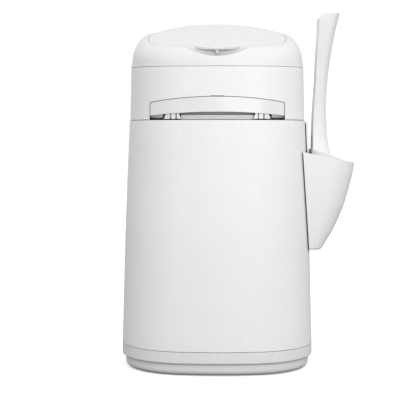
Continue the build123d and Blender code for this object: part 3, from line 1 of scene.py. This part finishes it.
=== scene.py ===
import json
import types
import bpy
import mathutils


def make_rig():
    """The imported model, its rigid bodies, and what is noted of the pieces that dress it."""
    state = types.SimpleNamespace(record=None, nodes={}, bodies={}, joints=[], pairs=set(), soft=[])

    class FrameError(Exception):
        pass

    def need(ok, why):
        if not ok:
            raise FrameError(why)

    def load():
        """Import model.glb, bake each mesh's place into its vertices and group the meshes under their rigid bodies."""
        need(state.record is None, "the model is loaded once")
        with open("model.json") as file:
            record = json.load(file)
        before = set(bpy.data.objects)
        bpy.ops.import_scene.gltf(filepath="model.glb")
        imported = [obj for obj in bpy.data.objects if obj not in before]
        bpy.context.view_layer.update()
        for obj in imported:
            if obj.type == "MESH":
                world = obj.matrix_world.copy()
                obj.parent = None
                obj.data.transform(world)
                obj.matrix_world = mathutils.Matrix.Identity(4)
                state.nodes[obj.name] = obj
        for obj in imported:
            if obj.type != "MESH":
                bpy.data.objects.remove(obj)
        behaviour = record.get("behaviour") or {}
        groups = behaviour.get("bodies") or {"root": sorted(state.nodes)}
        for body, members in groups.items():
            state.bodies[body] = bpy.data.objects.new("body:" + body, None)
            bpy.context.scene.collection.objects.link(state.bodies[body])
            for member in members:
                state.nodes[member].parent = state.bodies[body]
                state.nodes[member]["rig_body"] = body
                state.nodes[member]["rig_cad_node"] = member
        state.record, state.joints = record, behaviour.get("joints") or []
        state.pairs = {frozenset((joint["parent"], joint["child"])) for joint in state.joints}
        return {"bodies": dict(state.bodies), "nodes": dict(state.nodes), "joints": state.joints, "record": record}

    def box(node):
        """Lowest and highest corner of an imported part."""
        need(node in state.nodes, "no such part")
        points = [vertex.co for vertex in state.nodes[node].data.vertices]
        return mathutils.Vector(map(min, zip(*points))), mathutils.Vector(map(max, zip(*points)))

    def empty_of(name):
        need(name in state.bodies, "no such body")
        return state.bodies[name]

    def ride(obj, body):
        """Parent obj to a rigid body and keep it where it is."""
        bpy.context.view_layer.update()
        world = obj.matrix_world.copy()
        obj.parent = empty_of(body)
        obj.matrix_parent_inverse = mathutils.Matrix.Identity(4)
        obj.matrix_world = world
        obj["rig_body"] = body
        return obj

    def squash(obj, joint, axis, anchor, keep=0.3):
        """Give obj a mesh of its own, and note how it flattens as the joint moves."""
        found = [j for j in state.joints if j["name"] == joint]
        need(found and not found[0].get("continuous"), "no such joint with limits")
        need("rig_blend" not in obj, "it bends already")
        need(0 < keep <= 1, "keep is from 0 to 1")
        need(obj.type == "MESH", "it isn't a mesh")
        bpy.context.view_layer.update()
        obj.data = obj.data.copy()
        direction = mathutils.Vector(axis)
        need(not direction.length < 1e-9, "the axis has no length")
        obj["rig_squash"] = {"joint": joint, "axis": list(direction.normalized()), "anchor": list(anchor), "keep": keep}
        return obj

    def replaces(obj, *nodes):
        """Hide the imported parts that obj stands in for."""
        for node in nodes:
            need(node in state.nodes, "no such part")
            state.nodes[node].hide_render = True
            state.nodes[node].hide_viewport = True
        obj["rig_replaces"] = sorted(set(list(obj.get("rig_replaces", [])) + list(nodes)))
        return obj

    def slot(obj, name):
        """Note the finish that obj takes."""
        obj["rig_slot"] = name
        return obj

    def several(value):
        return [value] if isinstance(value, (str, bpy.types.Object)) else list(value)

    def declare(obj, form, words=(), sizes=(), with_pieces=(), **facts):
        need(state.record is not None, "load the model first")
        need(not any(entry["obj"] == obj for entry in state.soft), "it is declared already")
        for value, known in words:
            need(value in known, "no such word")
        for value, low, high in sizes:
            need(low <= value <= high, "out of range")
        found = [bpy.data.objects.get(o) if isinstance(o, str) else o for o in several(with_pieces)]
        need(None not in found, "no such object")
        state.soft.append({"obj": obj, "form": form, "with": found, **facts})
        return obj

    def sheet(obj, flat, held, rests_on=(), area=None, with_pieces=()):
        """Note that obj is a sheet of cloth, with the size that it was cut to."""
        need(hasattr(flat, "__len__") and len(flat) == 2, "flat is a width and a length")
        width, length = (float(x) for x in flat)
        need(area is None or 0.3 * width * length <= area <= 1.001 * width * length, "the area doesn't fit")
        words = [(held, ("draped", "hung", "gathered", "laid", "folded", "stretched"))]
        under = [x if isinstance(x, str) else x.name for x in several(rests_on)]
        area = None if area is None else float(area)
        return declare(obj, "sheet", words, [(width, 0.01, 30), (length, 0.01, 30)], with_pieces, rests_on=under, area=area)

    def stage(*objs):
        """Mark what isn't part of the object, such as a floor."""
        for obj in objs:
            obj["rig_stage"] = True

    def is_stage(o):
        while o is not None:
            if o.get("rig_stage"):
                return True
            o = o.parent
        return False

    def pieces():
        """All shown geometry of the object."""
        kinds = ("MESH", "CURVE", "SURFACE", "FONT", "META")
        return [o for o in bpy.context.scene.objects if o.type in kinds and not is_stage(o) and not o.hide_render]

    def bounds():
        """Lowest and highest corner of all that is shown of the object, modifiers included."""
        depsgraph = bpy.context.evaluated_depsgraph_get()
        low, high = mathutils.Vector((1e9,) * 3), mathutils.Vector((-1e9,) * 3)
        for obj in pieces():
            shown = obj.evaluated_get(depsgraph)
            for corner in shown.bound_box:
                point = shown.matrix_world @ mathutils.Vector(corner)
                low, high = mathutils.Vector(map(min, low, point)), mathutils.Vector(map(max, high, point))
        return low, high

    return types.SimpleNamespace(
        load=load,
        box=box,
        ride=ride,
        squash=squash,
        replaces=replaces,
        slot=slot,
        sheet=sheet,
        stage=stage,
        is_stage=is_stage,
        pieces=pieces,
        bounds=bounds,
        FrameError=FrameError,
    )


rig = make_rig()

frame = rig.load()

import bpy, bmesh, json, math
from mathutils import Vector, Matrix, noise

cad_box = [list(v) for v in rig.bounds()]
scene = bpy.context.scene


# ---------------------------------------------------------------------------
# material helpers
# ---------------------------------------------------------------------------
def new_mat(name):
    m = bpy.data.materials.new(name)
    m.use_nodes = True
    nt = m.node_tree
    nt.nodes.clear()
    out = nt.nodes.new("ShaderNodeOutputMaterial")
    bsdf = nt.nodes.new("ShaderNodeBsdfPrincipled")
    nt.links.new(bsdf.outputs[0], out.inputs[0])
    return m, nt, bsdf


def coords(nt, scale=(1, 1, 1)):
    tc = nt.nodes.new("ShaderNodeTexCoord")
    mp = nt.nodes.new("ShaderNodeMapping")
    mp.inputs["Scale"].default_value = scale
    nt.links.new(tc.outputs["Object"], mp.inputs["Vector"])
    return mp.outputs["Vector"]


def noise_tex(nt, vec, scale, detail=2.0, rough=0.5):
    n = nt.nodes.new("ShaderNodeTexNoise")
    n.inputs["Scale"].default_value = scale
    n.inputs["Detail"].default_value = detail
    n.inputs["Roughness"].default_value = rough
    nt.links.new(vec, n.inputs["Vector"])
    return n.outputs[0]


def ramp(nt, fac, stops):
    r = nt.nodes.new("ShaderNodeValToRGB")
    el = r.color_ramp.elements
    while len(el) < len(stops):
        el.new(0.5)
    for e, (p, c) in zip(el, stops):
        e.position = p
        e.color = (c[0], c[1], c[2], 1.0) if not isinstance(c, float) else (c, c, c, 1.0)
    nt.links.new(fac, r.inputs[0])
    return r.outputs[0]


def mix(nt, fac, a, b, mode="MIX"):
    n = nt.nodes.new("ShaderNodeMix")
    n.data_type = "RGBA"
    n.blend_type = mode
    if isinstance(fac, float):
        n.inputs[0].default_value = fac
    else:
        nt.links.new(fac, n.inputs[0])
    for s, v in ((6, a), (7, b)):
        if isinstance(v, tuple):
            n.inputs[s].default_value = (v[0], v[1], v[2], 1.0)
        else:
            nt.links.new(v, n.inputs[s])
    return n.outputs[2]


def add_bump(nt, bsdf, layers):
    prev = None
    for height, strength, dist in layers:
        b = nt.nodes.new("ShaderNodeBump")
        b.inputs["Strength"].default_value = strength
        b.inputs["Distance"].default_value = dist
        nt.links.new(height, b.inputs["Height"])
        if prev is not None:
            nt.links.new(prev, b.inputs["Normal"])
        prev = b.outputs[0]
    nt.links.new(prev, bsdf.inputs["Normal"])


def worn_edges(nt, lo=0.515, hi=0.56):
    g = nt.nodes.new("ShaderNodeNewGeometry")
    return ramp(nt, g.outputs["Pointiness"], [(lo, 0.0), (hi, 1.0)])


# painted shade: ambient occlusion turned into a mask that darkens seams, recesses and gaps
def painted_crevice_shade(nt, dist=0.006):
    ao = nt.nodes.new("ShaderNodeAmbientOcclusion")
    ao.samples = 6
    ao.inputs["Distance"].default_value = dist
    return ramp(nt, ao.outputs["AO"], [(0.15, 0.0), (0.85, 1.0)])


def moulded(name, base, rough=0.42, grain=0.035, grain_scale=1500.0, spec=0.45,
            coat=0.0, vary=0.014, shade_amount=1.0, sss=0.0, shade_colour=(0.50, 0.49, 0.475), edge=1.03, shade_reach=0.006):
    """Injection moulded plastic: fine grain, faint flow marks, handled edges, and painted shade in seams and recesses.
    """
    m, nt, b = new_mat(name)
    v = coords(nt)
    big = noise_tex(nt, v, 9.0, 3.0, 0.55)
    mid = noise_tex(nt, v, 70.0, 4.0, 0.6)
    c0 = tuple(x * (1 - vary) for x in base)
    c1 = tuple(min(1.0, x * (1 + vary * 0.6)) for x in base)
    col = ramp(nt, big, [(0.3, c0), (0.7, c1)])
    fine = ramp(nt, mid, [(0.25, 0.985), (0.75, 1.0)])
    col = mix(nt, 1.0, col, fine, "MULTIPLY")
    # painted shade: an ambient-occlusion mask darkens seams, gaps and recesses
    seam_shade = painted_crevice_shade(nt, shade_reach)
    shade_tint = mix(nt, shade_amount, (1.0, 1.0, 1.0), tuple(shade_colour), "MIX")
    col = mix(nt, seam_shade, mix(nt, 1.0, col, shade_tint, "MULTIPLY"), col)
    # edges that hands and cleaning have polished a little lighter
    wear = worn_edges(nt)
    light = tuple(min(1.0, x * edge) for x in base)
    scratch = noise_tex(nt, coords(nt, (1.0, 1.0, 0.2)), 260.0, 6.0, 0.7)
    worn = mix(nt, ramp(nt, scratch, [(0.45, 0.0), (0.65, 0.8)]), (0, 0, 0), (1, 1, 1))
    worn = mix(nt, 1.0, worn, wear, "MULTIPLY")
    col = mix(nt, worn, col, light)
    nt.links.new(col, b.inputs["Base Color"])
    rg = ramp(nt, noise_tex(nt, v, 38.0, 5.0, 0.62), [(0.3, rough - 0.05), (0.7, rough + 0.06)])
    nt.links.new(rg, b.inputs["Roughness"])
    b.inputs["Specular IOR Level"].default_value = spec
    b.inputs["Coat Weight"].default_value = coat
    b.inputs["Coat Roughness"].default_value = 0.12
    b.inputs["IOR"].default_value = 1.49
    if sss:
        b.inputs["Subsurface Weight"].default_value = sss
        b.inputs["Subsurface Radius"].default_value = (0.004, 0.0035, 0.003)
        b.inputs["Subsurface Scale"].default_value = 0.5
    vor = nt.nodes.new("ShaderNodeTexVoronoi")
    vor.inputs["Scale"].default_value = grain_scale
    nt.links.new(v, vor.inputs["Vector"])
    add_bump(nt, b, [
        (noise_tex(nt, v, 24.0, 2.0, 0.5), 0.10, 0.0006),
        (noise_tex(nt, v, grain_scale * 0.9, 3.0, 0.6), grain * 2.2, 0.00012),
        (vor.outputs["Distance"], grain, 0.00012),
    ])
    return m


def steel(name, base=(0.62, 0.63, 0.64), rough=0.3, axis="X"):
    m, nt, b = new_mat(name)
    sc = {"X": (0.04, 1, 1), "Y": (1, 0.04, 1), "Z": (1, 1, 0.04)}[axis]
    v = coords(nt, sc)
    brush = noise_tex(nt, v, 2600.0, 4.0, 0.6)
    v2 = coords(nt)
    spots = noise_tex(nt, v2, 320.0, 5.0, 0.65)
    col = ramp(nt, brush, [(0.3, tuple(x * 0.86 for x in base)), (0.7, tuple(min(1, x * 1.06) for x in base))])
    col = mix(nt, ramp(nt, spots, [(0.62, 0.0), (0.75, 0.4)]), col, (0.40, 0.37, 0.33))
    nt.links.new(col, b.inputs["Base Color"])
    b.inputs["Metallic"].default_value = 1.0
    rg = ramp(nt, spots, [(0.3, rough), (0.75, rough + 0.22)])
    nt.links.new(rg, b.inputs["Roughness"])
    add_bump(nt, b, [(brush, 0.12, 0.00005), (spots, 0.08, 0.00008)])
    return m


def rubber(name, base=(0.055, 0.055, 0.057), rough=0.72):
    m, nt, b = new_mat(name)
    v = coords(nt)
    col = ramp(nt, noise_tex(nt, v, 45.0, 5.0, 0.6), [(0.3, tuple(x * 0.85 for x in base)), (0.7, tuple(x * 1.2 for x in base))])
    wear = worn_edges(nt, 0.51, 0.55)
    col = mix(nt, wear, col, tuple(min(1.0, x * 1.5) for x in base))
    nt.links.new(col, b.inputs["Base Color"])
    rg = ramp(nt, noise_tex(nt, v, 160.0, 4.0, 0.6), [(0.3, rough - 0.08), (0.7, rough + 0.1)])
    nt.links.new(rg, b.inputs["Roughness"])
    b.inputs["Specular IOR Level"].default_value = 0.35
    add_bump(nt, b, [(noise_tex(nt, v, 1400.0, 4.0, 0.65), 0.2, 0.0001)])
    return m


def film_mat(name, base, alpha=0.55, rough=0.28, pleats=False):
    m, nt, b = new_mat(name)
    v = coords(nt)
    col = ramp(nt, noise_tex(nt, v, 60.0, 4.0, 0.6), [(0.3, tuple(x * 0.9 for x in base)), (0.7, base)])
    nt.links.new(col, b.inputs["Base Color"])
    rg = ramp(nt, noise_tex(nt, v, 120.0, 4.0, 0.6), [(0.3, rough - 0.08), (0.7, rough + 0.12)])
    nt.links.new(rg, b.inputs["Roughness"])
    b.inputs["Transmission Weight"].default_value = 1.0 - alpha
    b.inputs["IOR"].default_value = 1.3
    layers = [(noise_tex(nt, coords(nt, (1, 1, 0.35)), 130.0, 5.0, 0.7), 0.5, 0.0012),
              (noise_tex(nt, v, 900.0, 3.0, 0.6), 0.15, 0.0002)]
    if pleats:
        w = nt.nodes.new("ShaderNodeTexWave")
        w.wave_type = "BANDS"
        w.bands_direction = "Z"
        w.inputs["Scale"].default_value = 260.0
        w.inputs["Distortion"].default_value = 1.2
        w.inputs["Detail"].default_value = 3.0
        nt.links.new(v, w.inputs["Vector"])
        layers.append((w.outputs["Fac"], 0.8, 0.0008))
    add_bump(nt, b, layers)
    return m


WHITE = (0.86, 0.86, 0.855)
mats = {
    "shell": moulded("white_shell", WHITE, rough=0.46, grain=0.05, spec=0.42, sss=0.0),
    # cover and lid base is a darker copy of the shell white: painted shade to offset the light on their upward faces
    # on the cover the wide reach paints shade into the finger recess under the lid tongue
    "cover": moulded("white_cover", (0.80, 0.80, 0.795), rough=0.40, grain=0.035, spec=0.45, shade_reach=0.016),
    "gloss": moulded("white_gloss", (0.80, 0.80, 0.795), rough=0.30, grain=0.012, spec=0.48, coat=0.1),
    # scoop base is a darker copy of the shell white: painted shade to offset the key light on its up-facing flare
    "scoop": moulded("white_scoop", (0.775, 0.775, 0.77), rough=0.36, grain=0.015, spec=0.45, shade_amount=0.1),
    "base": moulded("white_base", (0.78, 0.78, 0.775), rough=0.50, grain=0.06, spec=0.4, shade_amount=0.7),
    "holder": moulded("white_holder", (0.86, 0.86, 0.855), rough=0.38, grain=0.03, spec=0.45),
    "grey": moulded("grey_moulding", (0.30, 0.31, 0.32), rough=0.48, grain=0.06, spec=0.4, shade_colour=(0.7, 0.7, 0.7), edge=1.25),
    "plate": moulded("pale_plate", (0.66, 0.66, 0.66), rough=0.45, grain=0.05, spec=0.4, shade_colour=(0.8, 0.8, 0.8), edge=1.05),
    "dark": moulded("dark_cassette", (0.045, 0.046, 0.05), rough=0.40, grain=0.05, spec=0.45, shade_colour=(0.8, 0.8, 0.8), edge=2.0),
    "steel": steel("zinc_steel"),
    "rod": steel("ground_rod", (0.70, 0.71, 0.72), 0.2, "Y"),
    "blade": steel("blade_steel", (0.75, 0.76, 0.77), 0.16, "Z"),
    "foot": rubber("foot_rubber", (0.16, 0.16, 0.165)),
    "seal": rubber("seal_rubber", (0.10, 0.10, 0.105), 0.6),
    "film": film_mat("bag_film_pale", (0.62, 0.68, 0.74), 0.55),
    "pack": film_mat("folded_film", (0.50, 0.56, 0.62), 0.9, 0.35, True),
}
use = {
    "bucket": "shell", "base_tray": "base", "upper_body": "shell", "top_cover": "cover", "lid": "cover",
    "handle": "gloss", "scoop_holder": "holder", "scoop": "scoop",
    "base_feet": "foot", "lid_seal": "seal", "slide_jaw_lip": "seal", "fixed_jaw_lip": "seal",
    "base_screws": "steel", "rear_hinge_pin": "steel", "cover_hinge_pin": "steel", "lid_hinge_pin": "steel",
    "guide_rods": "rod", "return_springs": "steel", "chassis_screws": "steel", "rail_screws": "steel",
    "fixed_jaw_screws": "steel", "hopper_screws": "steel", "handle_screws": "steel", "cutter_blade": "blade",
    "chassis": "grey", "slide_jaw": "plate", "fixed_jaw": "plate", "hopper": "grey", "guide_rail_left": "grey",
    "guide_rail_right": "grey", "snap_clips": "grey", "cutter_housing": "grey",
    "cassette_body": "dark", "cassette_cap": "dark", "film_pack": "pack", "bag_film": "film",
}
nodes = frame["nodes"]
for name in (nodes.keys() if hasattr(nodes, "keys") else nodes):
    ob = nodes[name] if hasattr(nodes, "keys") else bpy.data.objects[name]
    mat = mats[use[name]]
    if not ob.material_slots:
        ob.data.materials.append(mat)
    for s in ob.material_slots:
        s.material = mat


# ---------------------------------------------------------------------------
# coil springs round the guide rods
# ---------------------------------------------------------------------------
def tube_along(name, pts, r, seg=10):
    """Round wire swept along points, as a mesh with closed ends."""
    bm = bmesh.new()
    rings = []
    up = Vector((0, 0, 1))
    for i, p in enumerate(pts):
        a = pts[max(0, i - 1)]
        c = pts[min(len(pts) - 1, i + 1)]
        t = (c - a).normalized()
        u = up - t * up.dot(t)
        if u.length < 1e-4:
            u = Vector((1, 0, 0)) - t * t.x
        u.normalize()
        w = t.cross(u)
        rings.append([bm.verts.new(p + (u * math.cos(k / seg * math.tau) + w * math.sin(k / seg * math.tau)) * r) for k in range(seg)])
        up = u
    for a, b in zip(rings, rings[1:]):
        for k in range(seg):
            bm.faces.new((a[k], a[(k + 1) % seg], b[(k + 1) % seg], b[k]))
    bm.faces.new(list(reversed(rings[0])))
    bm.faces.new(rings[-1])
    me = bpy.data.meshes.new(name)
    bm.to_mesh(me)
    bm.free()
    for f in me.polygons:
        f.use_smooth = True
    ob = bpy.data.objects.new(name, me)
    scene.collection.objects.link(ob)
    return ob


lo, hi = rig.box("return_springs")
for side, nm in ((-1, "return_coil_left"), (1, "return_coil_right")):
    pts = []
    y0, y1 = lo[1] + 0.0004, hi[1] - 0.0004
    turns, wire = 21.0, 0.00038
    n = int(turns * 22)
    for i in range(n + 1):
        s = i / n
        t = s * turns
        # closed, flattened end turns and an even pitch between them
        e = 1.4
        if t < e:
            y = y0 + wire + 2 * wire * t
        elif t > turns - e:
            y = y1 - wire - 2 * wire * (turns - t)
        else:
            a = y0 + wire + 2 * wire * e
            b = y1 - wire - 2 * wire * e
            y = a + (b - a) * (t - e) / (turns - 2 * e)
        ang = t * math.tau
        r = 0.0031 - wire
        pts.append(Vector((side * 0.090 + r * math.cos(ang), y, 0.3086 + r * math.sin(ang))))
    coil = tube_along(nm, pts, wire, 8)
    coil.data.materials.append(mats["rod"])
    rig.slot(coil, "steel")
    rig.ride(coil, "upper_unit")
    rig.squash(coil, "handle_pull", axis=(0, 1, 0), anchor=(side * 0.090, y0, 0.3086), keep=0.443)
    if side == -1:
        first = coil
    else:
        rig.replaces(coil, "return_springs")
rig.replaces(first, "return_springs")

# ---------------------------------------------------------------------------
# bag film: one thin tube of film, pleated down the funnel, drawn in over the
# closed jaws to a flat neck and hanging below as a knotted tail
# ---------------------------------------------------------------------------
NECK = (0.0, 0.01995)
RINGS = [
    # z, half x, half y, y of the middle, squareness, radial pleat, upward pleat, twist
    (0.36405, 0.0686, 0.0576, 0.0, 2.25, 0.0000, 0.0000, 0.0),
    (0.36425, 0.0656, 0.0546, 0.0, 2.25, 0.0003, 0.0000, 0.0),
    (0.36395, 0.0630, 0.0520, 0.0, 2.25, 0.0004, 0.0000, 0.0),
    (0.36200, 0.0620, 0.0510, 0.0, 2.25, 0.0005, 0.0000, 0.0),
    (0.35500, 0.0617, 0.0507, 0.0, 2.25, 0.0007, 0.0000, 0.0),
    (0.34600, 0.0616, 0.0506, 0.0, 2.25, 0.0008, 0.0000, 0.0),
    (0.33820, 0.0614, 0.0504, 0.0, 2.25, 0.0008, 0.0000, 0.0),
    (0.33200, 0.0590, 0.0480, 0.0, 2.25, 0.0009, 0.0000, 0.0),
    (0.32500, 0.0562, 0.0452, 0.0, 2.25, 0.0010, 0.0000, 0.0),
    (0.31800, 0.0535, 0.0425, 0.0, 2.25, 0.0010, 0.0002, 0.0),
    (0.31450, 0.0522, 0.0412, 0.0, 2.20, 0.0009, 0.0006, 0.0),
    (0.31270, 0.0508, 0.0392, 0.0006, 2.15, 0.0006, 0.0010, 0.0),
    (0.31222, 0.0485, 0.0330, 0.0040, 2.10, 0.0003, 0.0016, 0.0),
    (0.31216, 0.0460, 0.0240, 0.0092, 2.05, 0.0001, 0.0018, 0.0),
    (0.31214, 0.0438, 0.0140, 0.0145, 2.00, 0.0000, 0.0014, 0.0),
    (0.31210, 0.0422, 0.0055, 0.0182, 2.00, 0.0000, 0.0008, 0.0),
    (0.31190, 0.0414, 0.0009, 0.01975, 2.00, 0.0000, 0.0002, 0.0),
    (0.31130, 0.0411, 0.00004, NECK[1], 2.00, 0.0000, 0.0000, 0.0),
    (0.30800, 0.0410, 0.00003, NECK[1], 2.00, 0.0000, 0.0000, 0.0),
    (0.30470, 0.0410, 0.00004, NECK[1], 2.00, 0.0000, 0.0000, 0.0),
    (0.30340, 0.0407, 0.0006, NECK[1], 2.00, 0.0001, 0.0000, 0.0),
    (0.29900, 0.0394, 0.0026, NECK[1], 2.00, 0.0006, 0.0000, 0.0),
    (0.29300, 0.0374, 0.0050, NECK[1], 2.00, 0.0011, 0.0000, 0.0),
    (0.28600, 0.0336, 0.0062, NECK[1], 2.00, 0.0015, 0.0000, 0.05),
    (0.28000, 0.0270, 0.0064, NECK[1], 2.00, 0.0014, 0.0000, 0.15),
    (0.27450, 0.0180, 0.0058, NECK[1], 2.00, 0.0011, 0.0000, 0.35),
    (0.27050, 0.0095, 0.0050, NECK[1], 2.00, 0.0008, 0.0000, 0.60),
    (0.26820, 0.0056, 0.0044, NECK[1], 2.00, 0.0005, 0.0000, 0.85),
    (0.26680, 0.0050, 0.0046, NECK[1], 2.00, 0.0004, 0.0000, 1.05),
    (0.26540, 0.0061, 0.0058, NECK[1], 2.00, 0.0005, 0.0000, 1.30),
    (0.26260, 0.0067, 0.0064, NECK[1], 2.00, 0.0006, 0.0000, 1.65),
    (0.25950, 0.0060, 0.0058, NECK[1], 2.00, 0.0006, 0.0000, 2.00),
    (0.25740, 0.0042, 0.0040, NECK[1], 2.00, 0.0004, 0.0000, 2.25),
    (0.25640, 0.0022, 0.0021, NECK[1], 2.00, 0.0002, 0.0000, 2.35),
]
PLEATS, ROUND = 54, 648


def smooth_rings(rings, per):
    out = []
    for i in range(len(rings) - 1):
        p0 = rings[max(0, i - 1)]
        p1, p2 = rings[i], rings[i + 1]
        p3 = rings[min(len(rings) - 1, i + 2)]
        for k in range(per):
            t = k / per
            row = []
            for a, b, c, d in zip(p0, p1, p2, p3):
                m1, m2 = (c - a) * 0.5, (d - b) * 0.5
                # keep the curve between its two rings
                if (c - b) * m1 <= 0:
                    m1 = 0.0
                if (c - b) * m2 <= 0:
                    m2 = 0.0
                h = (2 * t**3 - 3 * t * t + 1) * b + (t**3 - 2 * t * t + t) * m1
                h += (-2 * t**3 + 3 * t * t) * c + (t**3 - t * t) * m2
                row.append(min(max(h, min(b, c)), max(b, c)))
            out.append(row)
    out.append(list(rings[-1]))
    return out


bm = bmesh.new()
loops = []
for z, a, b, yc, sq, rad, lift, twist in smooth_rings(RINGS, 4):
    ring = []
    for k in range(ROUND):
        t = k / ROUND * math.tau
        drift = 1.3 * noise.noise(Vector((math.cos(t) * 1.7, math.sin(t) * 1.7, z * 9.0)))
        wave = math.cos(PLEATS * t + 2.2 * drift)
        size = 0.65 + 0.35 * noise.noise(Vector((math.cos(t) * 4.0, math.sin(t) * 4.0, z * 14.0 + 3.0)))
        c, s_ = math.cos(t), math.sin(t)
        e = 2.0 / sq
        x = a * math.copysign(abs(c) ** e, c)
        y = b * math.copysign(abs(s_) ** e, s_)
        n = Vector((x / max(a * a, 1e-12), y / max(b * b, 1e-12), 0.0))
        n = n.normalized() if n.length > 1e-9 else Vector((1, 0, 0))
        off = n * (rad * wave * size - rad)
        q = Vector((x, y, 0.0)) + off
        ct, st = math.cos(twist), math.sin(twist)
        q = Vector((q.x * ct - q.y * st, q.x * st + q.y * ct, 0.0))
        ring.append(bm.verts.new((q.x, q.y + yc, z + lift * (0.5 + 0.5 * wave) * size)))
    loops.append(ring)
for ra, rb in zip(loops, loops[1:]):
    for k in range(ROUND):
        bm.faces.new((ra[k], ra[(k + 1) % ROUND], rb[(k + 1) % ROUND], rb[k]))
me = bpy.data.meshes.new("bag_tube")
bm.to_mesh(me)
bm.free()
for f in me.polygons:
    f.use_smooth = True
bag = bpy.data.objects.new("bag_tube", me)
scene.collection.objects.link(bag)
bag.data.materials.append(mats["film"])
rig.slot(bag, "film")
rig.ride(bag, "upper_unit")
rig.replaces(bag, "bag_film")
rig.sheet(bag, flat=(0.375, 0.155), held="hung", rests_on=["cassette_cap", "cassette_body"], area=0.0396)

# ---------------------------------------------------------------------------
# floor, light, camera
# ---------------------------------------------------------------------------
bm = bmesh.new()
bmesh.ops.create_grid(bm, x_segments=8, y_segments=8, size=6.0)
me = bpy.data.meshes.new("floor")
bm.to_mesh(me)
bm.free()
floor = bpy.data.objects.new("floor", me)
scene.collection.objects.link(floor)
fm, fnt, fb = new_mat("floor_pale")
fcol = ramp(fnt, noise_tex(fnt, coords(fnt), 3.0, 3.0, 0.5), [(0.3, (0.93, 0.93, 0.93)), (0.7, (0.945, 0.945, 0.945))])
fnt.links.new(fcol, fb.inputs["Base Color"])
fb.inputs["Roughness"].default_value = 0.9
fb.inputs["Specular IOR Level"].default_value = 0.1
fb.inputs["Emission Color"].default_value = (1, 1, 1, 1)
fb.inputs["Emission Strength"].default_value = 0.42
# the floor sends less light back up than it shows, as a matt sweep does
fdim = fnt.nodes.new("ShaderNodeBsdfDiffuse")
fdim.inputs[0].default_value = (0.26, 0.26, 0.26, 1)
flp = fnt.nodes.new("ShaderNodeLightPath")
fmx = fnt.nodes.new("ShaderNodeMixShader")
fnt.links.new(flp.outputs["Is Camera Ray"], fmx.inputs[0])
fnt.links.new(fdim.outputs[0], fmx.inputs[1])
fnt.links.new(fb.outputs[0], fmx.inputs[2])
fnt.links.new(fmx.outputs[0], [n for n in fnt.nodes if n.type == "OUTPUT_MATERIAL"][0].inputs[0])
me.materials.append(fm)
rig.stage(floor)

WORLD_LEFT, WORLD_RIGHT = 1.16, 1.20
world = bpy.data.worlds.new("studio")
scene.world = world
world.use_nodes = True
wn = world.node_tree
wn.nodes.clear()
wo = wn.nodes.new("ShaderNodeOutputWorld")
bg1 = wn.nodes.new("ShaderNodeBackground")
bg2 = wn.nodes.new("ShaderNodeBackground")
bg2.inputs[0].default_value = (1, 1, 1, 1)
bg2.inputs[1].default_value = 1.05
# soft surround: a little darker from the left than from the right
wtc = wn.nodes.new("ShaderNodeTexCoord")
wsep = wn.nodes.new("ShaderNodeSeparateXYZ")
wn.links.new(wtc.outputs["Generated"], wsep.inputs[0])
wmr = wn.nodes.new("ShaderNodeMapRange")
wmr.inputs["From Min"].default_value = -1.0
wmr.inputs["From Max"].default_value = 1.0
wmr.inputs["To Min"].default_value = WORLD_LEFT
wmr.inputs["To Max"].default_value = WORLD_RIGHT
wn.links.new(wsep.outputs[0], wmr.inputs["Value"])
wn.links.new(wmr.outputs[0], bg1.inputs[1])
lp = wn.nodes.new("ShaderNodeLightPath")
mx = wn.nodes.new("ShaderNodeMixShader")
wn.links.new(lp.outputs["Is Camera Ray"], mx.inputs[0])
wn.links.new(bg1.outputs[0], mx.inputs[1])
wn.links.new(bg2.outputs[0], mx.inputs[2])
wn.links.new(mx.outputs[0], wo.inputs[0])


def area(name, loc, target, size, power, size_y=None):
    l = bpy.data.lights.new(name, "AREA")
    l.energy = power
    l.shape = "RECTANGLE"
    l.size = size
    l.size_y = size_y or size
    ob = bpy.data.objects.new(name, l)
    ob.location = loc
    d = Vector(target) - Vector(loc)
    ob.rotation_euler = d.to_track_quat("-Z", "Y").to_euler()
    scene.collection.objects.link(ob)
    return ob


area("key_front", (0.30, -1.00, 0.52), (0, 0, 0.30), 0.6, 4.2)

scene.view_settings.view_transform = "Standard"
scene.view_settings.look = "None"
scene.view_settings.exposure = 0.0
scene.view_settings.gamma = 1.0

cam = bpy.data.cameras.new("camera")
cam.lens = 108.0
cam.sensor_width = 36.0
cam.sensor_fit = "HORIZONTAL"
cam.clip_start = 0.05
cam.clip_end = 50.0
cam_ob = bpy.data.objects.new("camera", cam)
scene.collection.objects.link(cam_ob)
pitch, pan = math.radians(2.9), math.radians(0.82)
fwd = Vector((-math.sin(pan) * math.cos(pitch), math.cos(pan) * math.cos(pitch), -math.sin(pitch)))
right = Vector((math.cos(pan), math.sin(pan), 0.0))
up = right.cross(fwd)
rot = Matrix((right, up, -fwd)).transposed()
cam_ob.matrix_world = Matrix.Translation((0.0, -1.514, 0.2815)) @ rot.to_4x4()
scene.camera = cam_ob

with open("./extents.json", "w") as fh:
    json.dump({"cad": cad_box, "visual": [list(v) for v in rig.bounds()]}, fh)
